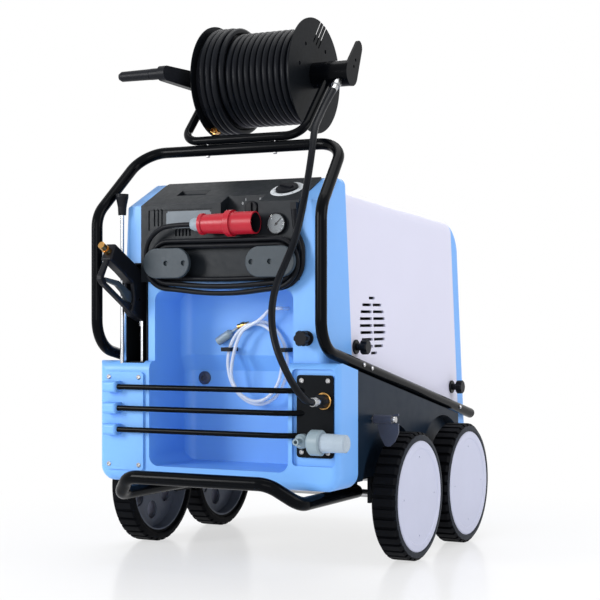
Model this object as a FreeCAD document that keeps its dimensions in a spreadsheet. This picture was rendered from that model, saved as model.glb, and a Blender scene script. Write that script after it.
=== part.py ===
import FreeCAD, Part
import itertools
import math
import os
import Sketcher
from FreeCAD import Placement, Rotation, Vector

# A hot-water pressure washer on four wheels: blue front and rear housings, a pale hood, a black
# tube frame with a handle bar, a hose reel on top, and the gun, lance, hoses and plug stored on
# its front. Millimetres. X runs to the machine's right as seen from the front, Y to the rear and
# Z up. The origin is on the floor under the middle of the machine.

# Driving dimensions
SIZES = {
    # Wheels and axles
    "tyre_radius": 160, "tyre_width": 66, "tyre_wall": 29, "tyre_lip_wall": 21.5,
    "tread_depth": 7, "tread_gap": 9, "tread_count": 38, "shoulder_drop": 8,
    "rim_half_width": 26, "rim_wall": 5, "web_place": 4, "web_wall": 6, "hub_radius": 24,
    "hub_inner_reach": 30, "hub_outer_reach": 14, "rim_window_radius": 24,
    "rim_window_ring": 78, "rim_window_count": 6, "cap_wall": 4.5, "cap_dish": 2.5,
    "cap_dish_inset": 43, "cap_hole_radius": 2.2, "cap_hole_ring": 98,
    "axle_radius": 10, "running_gap": 0.05, "fit_gap": 0.3, "track": 752, "wheelbase": 343,
    "front_axle_y": -92, "washer_radius": 19, "washer_wall": 3,
    # Chassis pan and its axle brackets
    "pan_half_width": 288, "pan_front_y": -296, "pan_rear_y": 500, "pan_floor_z": 204,
    "pan_wall": 6, "bracket_length": 70, "bracket_wall": 8, "bracket_drop": 20,
    # Foot bar
    "foot_tube_radius": 16.5, "foot_front_y": -492, "foot_front_z": 218,
    "foot_front_half": 193, "foot_rear_half": 250, "foot_bend_y": -440,
    "foot_end_y": -126, "foot_low_z": 168, "foot_bend_radius": 55, "foot_lug_wall": 10,
    "foot_lug_length": 60,
    # Main frame tube
    "frame_tube_radius": 14, "frame_half": 311, "frame_rear_y": 514, "frame_rear_z": 331,
    "frame_front_y": -453, "frame_corner_z": 534, "frame_knee_z": 860, "handle_half": 286,
    "handle_y": -277, "handle_z": 1028, "frame_corner_radius": 80, "frame_knee_radius": 70,
    "handle_corner_radius": 75, "frame_cap_wall": 4,
    "tube_bolt_radius": 3, "tube_bolt_head": 5.5, "tube_bolt_front_y": -246,
    "tube_bolt_pitch": 47, "tube_bolt_rear_y": 403, "handle_bolt_x": -94, "handle_bolt_pitch": 192,
    # Body envelope
    "side_foot_half": 292, "side_foot_z": 350, "side_lean": 2.5, "shell_wall": 5,
    "hood_front_y": -236, "hood_front_z": 921, "hood_slope": 3, "hood_rear_y": 471,
    "body_rear_y": 545, "rear_round": 95, "roof_edge_round": 38,
    "body_floor_z": 211, "seam_gap": 0.6, "hood_foot_drop": 2,
    # Front housing
    "front_proud": 3, "upper_front_y": -385, "upper_top_z": 946, "panel_brow_z": 884,
    "panel_crest_y": -262, "lower_half": 335, "lower_front_y": -412, "lower_rear_y": -302,
    "lower_floor_z": 196, "ledge_gap": 8, "lower_corner_round": 38, "lower_edge_round": 22,
    "upper_edge_round": 20, "recess_left_x": -184, "recess_right_x": 204,
    "recess_floor_z": 238, "recess_roof_z": 673, "recess_rear_y": -222,
    "recess_step_z": 490, "recess_step": 20, "recess_round": 26,
    # Lance channel and side panels
    "channel_left_x": -268, "channel_right_x": -204, "channel_floor_z": 492,
    "channel_roof_z": 742, "channel_depth": 60, "tray_wall": 3,
    "panel_half": 330, "panel_wall": 4, "panel_rear_y": 376, "flange_rear_y": 424, "arch_radius": 180,
    "arch_inner_half": 300, "flange_half": 296.7, "flange_wall": 3.5, "flange_rise": 18,
    # Hood vent
    "vent_y": -97, "vent_z": 585, "vent_radius": 78, "vent_rows": 9, "vent_slot_height": 7,
    "vent_bar": 8,
    # Star knobs
    "knob_disc_radius": 18, "knob_disc_wall": 4, "knob_neck_radius": 9, "knob_neck": 14,
    "knob_head_radius": 19, "knob_head": 17, "knob_scallop": 6, "knob_lobes": 6,
    "knob_stud_radius": 4, "knob_stud": 4.5, "hood_knob_front_y": -208,
    "hood_knob_front_z": 533, "hood_knob_rear_y": 425, "hood_knob_rear_z": 409,
    "front_knob_x": 240, "front_knob_z": 556, "plug_screw_x": -135, "plug_screw_z": 450,
    "plug_screw_radius": 17,
    # Bar plate, guard bars and connection plate
    "bar_plate_left_x": -312, "bar_plate_right_x": -198, "bar_plate_low_z": 226,
    "bar_plate_top_z": 470, "plate_wall": 6, "bar_radius": 6.75, "bar_y": -433,
    "bar_low_z": 327, "bar_pitch": 53, "bar_left_x": -280, "bar_bend_x": 197,
    "bar_end_x": 252, "bar_bend_radius": 60, "boss_left_x": -302, "boss_right_x": -262,
    "boss_half": 14, "bay_left_x": 214, "bay_right_x": 325, "bay_low_z": 256,
    "bay_top_z": 484, "bay_depth": 10, "bay_round": 10, "connection_left_x": 225,
    "connection_right_x": 320, "connection_low_z": 276, "connection_top_z": 470,
    "plate_screw_radius": 6, "plate_screw_inset": 13, "plate_screw_head": 3,
    # Water and pressure connections
    "outlet_x": 297, "outlet_z": 410, "nipple_radius": 7, "outlet_ring": 6,
    "outlet_ring_radius": 20, "outlet_nut_radius": 17, "outlet_nut_length": 20,
    "outlet_nut_lobes": 6, "ferrule_radius": 9.5, "ferrule_length": 18,
    "inlet_x": 243, "inlet_z": 315, "inlet_reach": 22, "inlet_collar_radius": 17.5,
    "barb_radius": 8, "barb_bore": 4.5, "barb_length": 20, "inlet_pipe_radius": 9,
    "filter_x": 277, "filter_y": -440, "filter_collar_radius": 30,
    "filter_collar_length": 32, "filter_bowl_radius": 23, "filter_bowl_length": 62,
    "filter_wall": 3, "filter_socket": 12,
    # Control panel
    "panel_left_x": -222, "panel_right_x": 222, "panel_low_z": 694, "panel_proud": 5,
    "panel_depth": 42, "panel_corner_round": 26, "label_left_x": -200, "label_right_x": -16,
    "label_low_z": 822, "label_top_z": 872, "label_depth": 3,
    "slot_left_x": -186, "slot_pitch": 11, "slot_width": 5, "slot_count": 3,
    "slot_low_z": 832, "slot_top_z": 874, "slot_depth": 6, "rib_left_x": -122,
    "rib_pitch": 10, "rib_low_z": 806, "rib_top_z": 824, "rib_count": 5,
    "panel_wall_depth": 9, "side_wall": 5, "gauge_x": 163, "gauge_z": 829,
    "gauge_radius": 26, "gauge_reach": 9, "gauge_wall": 2.5, "gauge_back_depth": 16,
    "needle_length": 17, "needle_width": 2.4, "needle_rest": -45,
    "dial_x": 157, "dial_y": -326, "dial_radius": 28,
    "dial_height": 12, "switch_x": 74, "switch_z": 872, "switch_radius": 17,
    "switch_height": 12, "well_left_x": 8, "well_right_x": 112, "well_low_z": 846,
    "well_rear_y": -352, "pocket_left_x": -150, "pocket_right_x": -66,
    "pocket_front_y": -338, "pocket_rear_y": -308, "pocket_depth": 10,
    # Cable hooks
    "hook_left_x": -124, "hook_right_x": 164, "hook_z": 738, "hook_plate_half": 66,
    "hook_plate_radius": 37, "hook_plate_wall": 10, "hook_post_half": 34,
    "hook_post_radius": 28, "hook_post_length": 31, "hook_hole_radius": 6.5,
    "hook_hole_pitch": 50, "hook_hole_depth": 6,
    # Power cable, plug and gland
    "cable_radius": 6, "coil_pitch": 13.5, "coil_layer": 13.2, "coil_turns": 4.5,
    "coil_seat": 0.6, "coil_sag": 4, "coil_sag_growth": 3,
    "plug_x": -27, "plug_y": -423, "plug_z": 831.5, "plug_gland_radius": 17,
    "plug_gland_length": 26, "plug_body_radius": 25, "plug_body_length": 73,
    "plug_collar_radius": 32, "plug_collar_length": 25, "plug_shroud_radius": 27,
    "plug_shroud_length": 52, "plug_shroud_wall": 3, "plug_pin_radius": 2.5,
    "plug_earth_radius": 3, "plug_pin_ring": 14, "plug_pin_length": 38,
    "gland_x": 213, "gland_z": 862, "lead_rise": 20, "gland_radius": 8.5, "gland_length": 24,
    "gland_foot": 16,
    # Hose reel
    "reel_y": -122, "reel_z": 1223, "flange_radius": 147, "flange_sheet": 2.5,
    "flange_left_x": -152, "flange_right_x": 131,
    "hose_radius": 8.25, "hose_pitch": 17.3, "barrel_radius": 60,
    "hose_turns": 15, "lower_turns": 11, "hose_ring": 113.5, "core_gap": 0.5,
    "reel_shaft_radius": 12, "reel_bearing_radius": 24, "reel_bearing_length": 22,
    "reel_bearing_gap": 5, "reel_hub_radius": 33, "reel_hub_length": 98,
    "reel_hub_gap": 1, "reel_shaft_depth": 60, "end_plate_wall": 6,
    "end_plate_reach": 70, "end_plate_tip": 18, "reel_tube_radius": 11,
    "reel_tube_corner": 45, "reel_frame_z_gap": 0.2, "swivel_x": 209,
    "swivel_radius": 9, "swivel_length": 42, "swivel_lean": 48, "hose_tail": 22,
    "fitting_radius": 8.6, "fitting_length": 34, "reel_slot_width": 5,
    "reel_slot_length": 78, "reel_hole_radius": 5, "reel_leg_left_x": -168,
    "reel_leg_right_x": 172, "drum_gap": 0.3,
    # Crank
    "crank_gap": 4, "crank_wall": 20, "crank_length": 207, "crank_root": 25,
    "crank_tip": 19, "crank_collar": 27, "crank_collar_radius": 14.5, "grip_radius": 14,
    "grip_length": 92, "grip_pin_radius": 6, "grip_gap": 1,
    # Hoses on the front
    "supply_radius": 8.5, "clear_hose_radius": 4.5, "clear_layer": 14.5,
    "loop_x": 38, "loop_half": 82, "loop_top_z": 594, "loop_bottom_z": 388,
    "loop_side_z": 492, "loop_inset": 9, "hose_exit_x": 117, "hose_exit_z": 628,
    "valve_x": 10, "valve_length": 30, "valve_radius": 7.5, "strainer_length": 40,
    "strainer_radius": 11, "strainer_reach": 34, "clip_width": 10, "clip_wall": 2.5,
    # Parking brake
    "brake_lead": 113, "brake_rise": 197, "brake_wall": 5,
    "brake_pin_radius": 5.5, "brake_sleeve_radius": 11, "brake_sleeve_x": 334,
    "brake_sleeve_end_x": 382, "brake_shoe_left_x": 343,
    "brake_pin_end_x": 388,
    # Spray gun and lances
    "gun_x": -240, "gun_wall": 30, "guard_wall": 14, "trigger_wall": 12,
    "trigger_pivot_y": -392, "trigger_pivot_z": 650, "trigger_pin_radius": 3,
    "trigger_gap": 0.4, "gun_round": 5, "gun_socket": 14, "gun_stem_radius": 7,
    "gun_lance_y": -356, "gun_lance_radius": 7, "gun_collar_radius": 11,
    "gun_collar_length": 12, "gun_inlet_radius": 10, "gun_inlet_length": 34,
    "lance_gap": 0.3, "lance_radius": 5, "lance_bore": 3, "lance_insert": 12,
    "nozzle_x": -271, "nozzle_y": -401, "lance_low_z": 462, "lance_top_z": 862,
    "nozzle_top_z": 915, "nozzle_foot_radius": 10, "nozzle_tip_radius": 16,
    # Fuel cap and inner units
    "fuel_cap_radius": 27, "fuel_cap_length": 18, "fuel_cap_x": 180, "fuel_cap_lift": 1.5,
    "fuel_neck_radius": 20, "fuel_neck_depth": 100, "fuel_neck_reach": 14,
    "unit_gap": 0.3, "tank_front_y": 402, "tank_rear_y": 536, "tank_half": 240,
    "tank_top_z": 800, "boiler_x": -60, "boiler_y": 245, "boiler_radius": 140,
    "boiler_top_z": 790, "blower_radius": 62, "blower_height": 60, "motor_x": -90,
    "motor_y": -30, "motor_z": 320, "motor_radius": 88, "motor_length": 230,
    "pump_length": 120, "pump_height": 150, "pump_width": 130, "head_radius": 26,
    "head_length": 70, "float_left_x": 110, "float_right_x": 270, "float_front_y": 70,
    "float_rear_y": 390, "float_top_z": 560, "tank_round": 18, "tank_wall": 4,
    "jacket_wall": 3, "flue_radius": 60, "flue_length": 50, "dome_height": 40,
    "blower_z": 640, "motor_foot": 14, "motor_shaft_radius": 14, "box_left_x": -200,
    "box_length": 200, "box_front_y": -335, "box_depth": 80, "box_height": 170,
    "box_wall": 3,
}


class Size(float):
    """A length that also remembers how it is worked out from the sheet."""

    def __new__(cls, value, text):
        number = float.__new__(cls, value)
        number.text = text
        return number

    def __add__(self, other):
        return Size(float(self) + float(other), "(%s + %s)" % (self.text, words(other)))

    def __radd__(self, other):
        return Size(float(other) + float(self), "(%s + %s)" % (words(other), self.text))

    def __sub__(self, other):
        return Size(float(self) - float(other), "(%s - %s)" % (self.text, words(other)))

    def __rsub__(self, other):
        return Size(float(other) - float(self), "(%s - %s)" % (words(other), self.text))

    def __mul__(self, other):
        return Size(float(self) * float(other), "(%s * %s)" % (self.text, words(other)))

    def __rmul__(self, other):
        return Size(float(other) * float(self), "(%s * %s)" % (words(other), self.text))

    def __truediv__(self, other):
        return Size(float(self) / float(other), "(%s / %s)" % (self.text, words(other)))

    def __neg__(self):
        return Size(-float(self), "(-%s)" % self.text)


def words(value):
    """The expression of a size, or a plain number as it is."""
    if isinstance(value, Size):
        return value.text
    return "(%.9g)" % value


def tangent(angle):
    """The tangent of an angle in degrees."""
    return Size(math.tan(math.radians(angle)), "tan(%s)" % words(angle))


doc = FreeCAD.newDocument("pressure_washer")
sheet = doc.addObject("Spreadsheet::Sheet", "dims")
for row, (alias, number) in enumerate(SIZES.items(), 1):
    sheet.set("A%d" % row, alias)
    sheet.set("B%d" % row, str(number))
    sheet.setAlias("B%d" % row, alias)
doc.recompute()


class Dimensions:
    """Every cell of the sheet, read by its alias."""

    def __getattr__(self, alias):
        return Size(float(sheet.get(alias)), "dims." + alias)


D = Dimensions()
NODES = []
NONE = Size(0.0, "0")
AXIS = {"x": Vector(1, 0, 0), "y": Vector(0, 1, 0), "z": Vector(0, 0, 1)}
# A sketch's own X and Y stand for these two row axes, and it is extruded along the third.
SKETCH_TURN = {
    "xy": Rotation(),
    "xz": Rotation(Vector(1, 0, 0), 90),
    "yz": Rotation(Vector(1, 1, 1), 120),
}
EXTRUDE_AXIS = {"xy": "z", "xz": "y", "yz": "x"}


def bind(feature, path, value):
    """Set one property and tie it to the sheet where the value comes from it."""
    if isinstance(value, Size) and "dims." in value.text:
        feature.setExpression(path, value.text)
    elif not path.startswith("."):
        setattr(feature, path, float(value))


def seat(feature, x, y, z, turn=None):
    """Place a feature, turned first, with its base tied to the sheet."""
    feature.Placement = Placement(Vector(x, y, z), turn or Rotation())
    for letter, value in zip("xyz", (x, y, z)):
        bind(feature, ".Placement.Base." + letter, value)
    return feature


def node(feature, name):
    """Give the finished feature the name of its sub-part."""
    feature.Label = name
    NODES.append(feature)
    return feature


def block(name, x, y, z):
    """A box between two places on each axis."""
    feature = doc.addObject("Part::Box", name)
    bind(feature, "Length", x[1] - x[0])
    bind(feature, "Width", y[1] - y[0])
    bind(feature, "Height", z[1] - z[0])
    return seat(feature, x[0], y[0], z[0])


def turn_to(direction):
    """The rotation that carries Z to a direction."""
    return Rotation(Vector(0, 0, 1), Vector(*direction))


def rod(name, radius, length, base, direction):
    """A cylinder from its base along a direction."""
    feature = doc.addObject("Part::Cylinder", name)
    bind(feature, "Radius", radius)
    bind(feature, "Height", length)
    return seat(feature, base[0], base[1], base[2], turn_to(direction))


def cone(name, foot, tip, length, base, direction):
    """A cone from its foot radius to its tip radius along a direction."""
    feature = doc.addObject("Part::Cone", name)
    bind(feature, "Radius1", foot)
    bind(feature, "Radius2", tip)
    bind(feature, "Height", length)
    return seat(feature, base[0], base[1], base[2], turn_to(direction))


def fuse(name, *parts):
    feature = doc.addObject("Part::MultiFuse", name)
    feature.Shapes = list(parts)
    return feature


def common(name, *parts):
    feature = doc.addObject("Part::MultiCommon", name)
    feature.Shapes = list(parts)
    return feature


def cut(name, base, *tools):
    """The base less its tools."""
    feature = doc.addObject("Part::Cut", name)
    feature.Base = base
    feature.Tool = tools[0] if len(tools) == 1 else fuse(name + "_tools", *tools)
    return feature


def group(name, *parts):
    feature = doc.addObject("Part::Compound", name)
    feature.Links = list(parts)
    return feature


def mirror(name, source):
    """The same form on the machine's other side."""
    feature = doc.addObject("Part::Mirroring", name)
    feature.Source = source
    feature.Normal = Vector(1, 0, 0)
    return feature


def outline(sketch, corners):
    """A closed outline in a sketch, with both places of each corner tied to the sheet."""
    count = len(corners)
    for index in range(count):
        here = Vector(*corners[index], 0)
        there = Vector(*corners[(index + 1) % count], 0)
        sketch.addGeometry(Part.LineSegment(here, there), False)
    for index in range(count):
        joint = Sketcher.Constraint("Coincident", index, 2, (index + 1) % count, 1)
        sketch.addConstraint(joint)
    for index, corner in enumerate(corners):
        for kind, value in zip(("DistanceX", "DistanceY"), corner):
            rule = Sketcher.Constraint(kind, -1, 1, index, 1, float(value))
            place = sketch.addConstraint(rule)
            if isinstance(value, Size) and "dims." in value.text:
                sketch.setExpression("Constraints[%d]" % place, value.text)
    return sketch


def prism(name, plane, corners, low, high):
    """An outline in one plane, extruded along the third axis from one place to another."""
    sketch = doc.addObject("Sketcher::SketchObject", name + "_outline")
    outline(sketch, corners)
    base = [NONE, NONE, NONE]
    base["xyz".index(EXTRUDE_AXIS[plane])] = low
    seat(sketch, base[0], base[1], base[2], SKETCH_TURN[plane])
    feature = doc.addObject("Part::Extrusion", name)
    feature.Base = sketch
    feature.DirMode = "Custom"
    feature.Dir = AXIS[EXTRUDE_AXIS[plane]]
    feature.Solid = True
    bind(feature, "LengthFwd", high - low)
    return feature


def lathe(name, corners, x, y, z, turn=None):
    """A body turned about its own X axis from corners of (place along the axis, radius)."""
    body = doc.addObject("PartDesign::Body", name)
    sketch = body.newObject("Sketcher::SketchObject", name + "_section")
    plane = next(f for f in body.Origin.OriginFeatures if f.Role == "XY_Plane")
    sketch.AttachmentSupport = [(plane, "")]
    sketch.MapMode = "FlatFace"
    outline(sketch, corners)
    turned = body.newObject("PartDesign::Revolution", name + "_turned")
    turned.Profile = sketch
    turned.ReferenceAxis = (sketch, ["H_Axis"])
    turned.Angle = 360
    return seat(body, x, y, z, turn)


def drill_ring(body, name, ring, radius, count, low, high):
    """A ring of round pockets about the body's X axis, between two places along it."""
    sketch = body.newObject("Sketcher::SketchObject", name + "_circle")
    plane = next(f for f in body.Origin.OriginFeatures if f.Role == "YZ_Plane")
    sketch.AttachmentSupport = [(plane, "")]
    sketch.MapMode = "FlatFace"
    sketch.AttachmentOffset = Placement(Vector(0, 0, low), Rotation())
    bind(sketch, ".AttachmentOffset.Base.z", low)
    sketch.addGeometry(Part.Circle(Vector(0, ring, 0), Vector(0, 0, 1), float(radius)), False)
    sketch.addConstraint(Sketcher.Constraint("PointOnObject", 0, 3, -2))
    height = sketch.addConstraint(Sketcher.Constraint("DistanceY", -1, 1, 0, 3, float(ring)))
    size = sketch.addConstraint(Sketcher.Constraint("Radius", 0, float(radius)))
    sketch.setExpression("Constraints[%d]" % height, words(ring))
    sketch.setExpression("Constraints[%d]" % size, words(radius))
    pocket = body.newObject("PartDesign::Pocket", name + "_pocket")
    pocket.Profile = sketch
    pocket.Reversed = True
    bind(pocket, "Length", high - low)
    return repeat(body, name, pocket, count)


def repeat(body, name, feature, count):
    """The feature's copies about the body's X axis."""
    pattern = body.newObject("PartDesign::PolarPattern", name + "_ring")
    axis = next(f for f in body.Origin.OriginFeatures if f.Role == "X_Axis")
    pattern.Originals = [feature]
    pattern.Axis = (axis, [""])
    pattern.Angle = 360
    pattern.setExpression("Occurrences", words(count))
    body.Tip = pattern
    return body


def picked(shape, test):
    """The numbers of the edges that a test picks."""
    return [i for i, edge in enumerate(shape.Edges, 1) if test(edge)]


def rounded(name, base, radius, test):
    """The base with the picked edges rounded."""
    doc.recompute()
    feature = doc.addObject("Part::Fillet", name)
    feature.Base = base
    feature.Edges = [(i, float(radius), float(radius)) for i in picked(base.Shape, test)]
    return feature


def runs_along(axis):
    """A test for straight edges along an axis."""
    def test(edge):
        if edge.Curve.TypeId != "Part::GeomLine":
            return False
        return abs(edge.Curve.Direction.dot(AXIS[axis])) > 0.999
    return test


def middle(edge):
    """An edge's middle point."""
    first, last = edge.ParameterRange
    return edge.valueAt((first + last) / 2)


def solid_of(name, shape):
    """A sub-part whose form is worked out from the sheet in this script."""
    feature = doc.addObject("Part::Feature", name)
    feature.Shape = shape
    return feature


def route_wire(points, radii):
    """Straight runs joined by tangent arcs, one radius for each inner point."""
    edges = []
    start = points[0]
    for before, here, after, radius in zip(points, points[1:], points[2:], radii):
        back = (before - here).normalize()
        on = (after - here).normalize()
        half = (math.pi - back.getAngle(on)) / 2
        reach = radius * math.tan(half)
        enter = here + back * reach
        leave = here + on * reach
        inward = (back + on).normalize()
        crown = here + inward * (radius / math.cos(half) - radius)
        if (enter - start).Length > 1e-6:
            edges.append(Part.LineSegment(start, enter).toShape())
        edges.append(Part.Arc(enter, crown, leave).toShape())
        start = leave
    edges.append(Part.LineSegment(start, points[-1]).toShape())
    return Part.Wire(edges)


def tube_along(wire, radius, bore=0):
    """A round tube along a wire, hollow where it has a bore."""
    first = wire.OrderedEdges[0]
    start = first.valueAt(first.FirstParameter)
    heading = first.tangentAt(first.FirstParameter)
    if first.Orientation == "Reversed":
        start = first.valueAt(first.LastParameter)
        heading = first.tangentAt(first.LastParameter) * -1
    solids = []
    for size in (radius, bore):
        if size:
            ring = Part.Wire(Part.Circle(start, heading, float(size)).toShape())
            solids.append(wire.makePipeShell([ring], True, False))
    return solids[0].cut(solids[1]) if bore else solids[0]


def cord_radii(points):
    """The largest arc that each inner point's two runs allow."""
    radii = []
    for before, here, after in zip(points, points[1:], points[2:]):
        shorter = min((here - before).Length, (after - here).Length)
        half = (math.pi - (before - here).getAngle(after - here)) / 2
        radii.append(0.45 * shorter / math.tan(half))
    return radii


def cord_tube(name, points, radius):
    """A cord's tube along its route; its arcs, length and volume are printed."""
    places = [Vector(*point) for point in points]
    radii = cord_radii(places)
    wire = route_wire(places, radii)
    shape = tube_along(wire, radius)
    section = math.pi * float(radius) ** 2
    print(name, "least arc", round(min(radii), 1), "length", round(wire.Length, 1),
          "volume share", round(shape.Volume / (section * wire.Length), 4))
    return solid_of(name, shape)


def biarc(start, out, end, on):
    """Two arcs that leave the start and reach the end along the given directions."""
    span = end - start
    both = out + on
    square = 2 * (1 - out.dot(on))
    lean = span.dot(both)
    if abs(square) < 1e-9:
        reach = span.dot(span) / (4 * span.dot(on))
    else:
        reach = (-lean + math.sqrt(lean * lean + square * span.dot(span))) / square
    meet = (start + out * reach + end - on * reach) * 0.5
    pieces = []
    for here, there, heading in ((start, meet, out), (meet, end, None)):
        if heading is None:
            pieces.append(arc_from(there, here, on * -1, True))
        else:
            pieces.append(arc_from(here, there, heading, False))
    return pieces


def arc_from(here, there, heading, swap):
    """The arc that leaves a point along a heading and ends at another."""
    span = there - here
    side = heading.cross(span).cross(heading)
    first, last = (there, here) if swap else (here, there)
    if side.Length < 1e-6 * span.Length:
        return Part.LineSegment(first, last).toShape()
    side.normalize()
    radius = span.dot(span) / (2 * span.dot(side))
    centre = here + side * radius
    crown = centre + ((here + there) * 0.5 - centre).normalize() * radius
    return Part.Arc(first, crown, last).toShape()


def wound_wire(stations):
    """A smooth wire of biarcs through stations of (place, heading)."""
    edges = []
    for (here, out), (there, on) in zip(stations, stations[1:]):
        if abs(out.dot(there - here) - (there - here).Length) < 1e-7:
            edges.append(Part.LineSegment(here, there).toShape())
        else:
            edges.extend(biarc(here, out, there, on))
    return Part.Wire(edges)


def self_gap(wire, radius):
    """The least gap between parts of a wound tube that aren't neighbours along it."""
    points = wire.discretize(Distance=float(radius) / 3)
    pitch = wire.Length / (len(points) - 1)
    apart = int(math.pi * float(radius) * 2 / pitch) + 1
    cell = float(radius) * 3
    cells = {}
    least = cell
    for i, here in enumerate(points):
        key = [int(math.floor(value / cell)) for value in here]
        for shift in itertools.product((-1, 0, 1), repeat=3):
            near = tuple(a + b for a, b in zip(key, shift))
            for j in cells.get(near, ()):
                if i - j > apart:
                    least = min(least, here.distanceToPoint(points[j]))
        cells.setdefault(tuple(key), []).append(i)
    return least - 2 * float(radius)


def wound_tube(name, stations, radius):
    """A wound tube in one piece; its length, volume and least gap to itself are printed."""
    wire = wound_wire(stations)
    shape = tube_along(wire, radius)
    section = math.pi * float(radius) ** 2
    print(name, "length", round(wire.Length, 1), "volume share",
          round(shape.Volume / (section * wire.Length), 4),
          "least gap", round(self_gap(wire, radius), 2))
    return solid_of(name, shape)


def tapered_plate(base, tip, base_radius, tip_radius, thickness, axis):
    """A flat arm with round ends of two radii, joined by their common tangents."""
    along = tip - base
    length = along.Length
    along.normalize()
    across = axis.cross(along)
    share = (float(base_radius) - float(tip_radius)) / length
    rest = math.sqrt(1 - share * share)
    one = across * rest + along * share
    two = across * -rest + along * share
    big = float(base_radius)
    small = float(tip_radius)
    edges = [
        Part.LineSegment(base + one * big, tip + one * small).toShape(),
        Part.Arc(tip + one * small, tip + along * small, tip + two * small).toShape(),
        Part.LineSegment(tip + two * small, base + two * big).toShape(),
        Part.Arc(base + two * big, base - along * big, base + one * big).toShape(),
    ]
    return Part.Face(Part.Wire(edges)).extrude(axis * float(thickness))


# Running gear
WHEELS = {
    "front_right": (D.track / 2, D.front_axle_y, 0),
    "front_left": (-D.track / 2, D.front_axle_y, 180),
    "rear_right": (D.track / 2, D.front_axle_y + D.wheelbase, 0),
    "rear_left": (-D.track / 2, D.front_axle_y + D.wheelbase, 180),
}


def brake_place():
    """The brake pin's Y and Z, ahead of the front axle and over it."""
    return D.front_axle_y - D.brake_lead, D.tyre_radius + D.brake_rise


def tyre_bore():
    return D.tyre_radius - D.tyre_wall


def tyre_lip_bore():
    return D.tyre_radius - D.tyre_lip_wall


def tyre(name, x, y, turn):
    bore = tyre_bore()
    lip_bore = tyre_lip_bore()
    half = D.tyre_width / 2
    lip = D.rim_half_width
    crown = D.tyre_radius - D.shoulder_drop
    corners = [
        (-lip, bore), (lip, bore), (lip, lip_bore),
        (half - 2, lip_bore), (half, lip_bore + 4), (half - 1.5, crown),
        (half - D.shoulder_drop, D.tyre_radius), (D.shoulder_drop - half, D.tyre_radius),
        (1.5 - half, crown), (-half, lip_bore + 4), (2 - half, lip_bore),
        (-lip, lip_bore),
    ]
    body = lathe(name, corners, x, y, D.tyre_radius, Rotation(AXIS["z"], turn))
    sketch = body.newObject("Sketcher::SketchObject", name + "_groove")
    plane = next(f for f in body.Origin.OriginFeatures if f.Role == "YZ_Plane")
    sketch.AttachmentSupport = [(plane, "")]
    sketch.MapMode = "FlatFace"
    low = D.tyre_radius - D.tread_depth
    side = D.tread_gap / 2
    outline(sketch, [(-side, low), (side, low), (side, low + D.tread_depth * 2),
                     (-side, low + D.tread_depth * 2)])
    groove = body.newObject("PartDesign::Pocket", name + "_groove_cut")
    groove.Profile = sketch
    groove.Midplane = True
    bind(groove, "Length", D.tyre_width * 2)
    return node(repeat(body, name, groove, D.tread_count), name)


def rim(name, x, y, turn):
    outer = tyre_bore() - D.fit_gap
    inner = outer - D.rim_wall
    bore = D.axle_radius + D.running_gap
    web_end = D.web_place + D.web_wall
    corners = [
        (-D.hub_inner_reach, bore), (D.hub_outer_reach, bore),
        (D.hub_outer_reach, D.hub_radius), (web_end, D.hub_radius + 2), (web_end, inner),
        (D.rim_half_width, inner + 1), (D.rim_half_width, outer),
        (-D.rim_half_width, outer), (-D.rim_half_width, inner + 1), (D.web_place, inner),
        (D.web_place, D.hub_radius + 4), (-D.hub_inner_reach, D.hub_radius),
    ]
    body = lathe(name, corners, x, y, D.tyre_radius, Rotation(AXIS["z"], turn))
    drill_ring(body, name + "_windows", D.rim_window_ring, D.rim_window_radius,
               D.rim_window_count, D.web_place - 1, web_end + 1)
    return body


def wheel_cap(name, x, y, turn):
    inner = D.rim_half_width + D.fit_gap
    face = D.tyre_width / 2
    rim_radius = tyre_lip_bore() - D.fit_gap
    dish = face - D.cap_dish
    dish_radius = D.tyre_radius - D.cap_dish_inset
    corners = [
        (inner, NONE), (inner, rim_radius), (face - 2, rim_radius), (face, rim_radius - 2.5),
        (face, dish_radius + 4), (dish, dish_radius), (dish, NONE),
    ]
    body = lathe(name, corners, x, y, D.tyre_radius, Rotation(AXIS["z"], turn))
    return drill_ring(body, name + "_holes", D.cap_hole_ring, D.cap_hole_radius,
                      Size(4, "4"), face - D.cap_wall, face + 1)


def running_gear():
    for place, (x, y, turn) in WHEELS.items():
        tyre("tyre_" + place, x, y, turn)
        node(group("wheel_set_" + place, rim("rim_" + place, x, y, turn),
                   wheel_cap("hub_cap_" + place, x, y, turn)), "wheel_" + place)
    reach = D.track / 2 + D.hub_outer_reach + D.washer_wall + 1
    rods = []
    washers = []
    for y in (D.front_axle_y, D.front_axle_y + D.wheelbase):
        tag = "front" if y < 0 else "rear"
        rods.append(rod("axle_" + tag, D.axle_radius, reach * 2, (-reach, y, D.tyre_radius),
                        (1, 0, 0)))
        for side in (1, -1):
            inner = D.track / 2 - D.hub_inner_reach - D.washer_wall - D.fit_gap
            outer = D.track / 2 + D.hub_outer_reach + D.fit_gap
            for spot, low in (("inner", inner), ("outer", outer)):
                title = "washer_%s_%s_%s" % (tag, "right" if side > 0 else "left", spot)
                corners = [(low, D.axle_radius + D.running_gap), (low, D.washer_radius),
                           (low + D.washer_wall, D.washer_radius),
                           (low + D.washer_wall, D.axle_radius + D.running_gap)]
                turn = Rotation(AXIS["z"], 0 if side > 0 else 180)
                washers.append(lathe(title, corners, NONE, y, D.tyre_radius, turn))
    pin_corners = [(D.arch_inner_half + D.fit_gap, NONE),
                   (D.arch_inner_half + D.fit_gap, D.brake_pin_radius),
                   (D.brake_pin_end_x, D.brake_pin_radius),
                   (D.brake_pin_end_x, D.brake_pin_radius + 3),
                   (D.brake_pin_end_x + 4, D.brake_pin_radius + 2),
                   (D.brake_pin_end_x + 4, NONE)]
    pin = lathe("brake_pin", pin_corners, NONE, *brake_place())
    node(group("axle_set", pin, *(rods + washers)), "axles")


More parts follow.
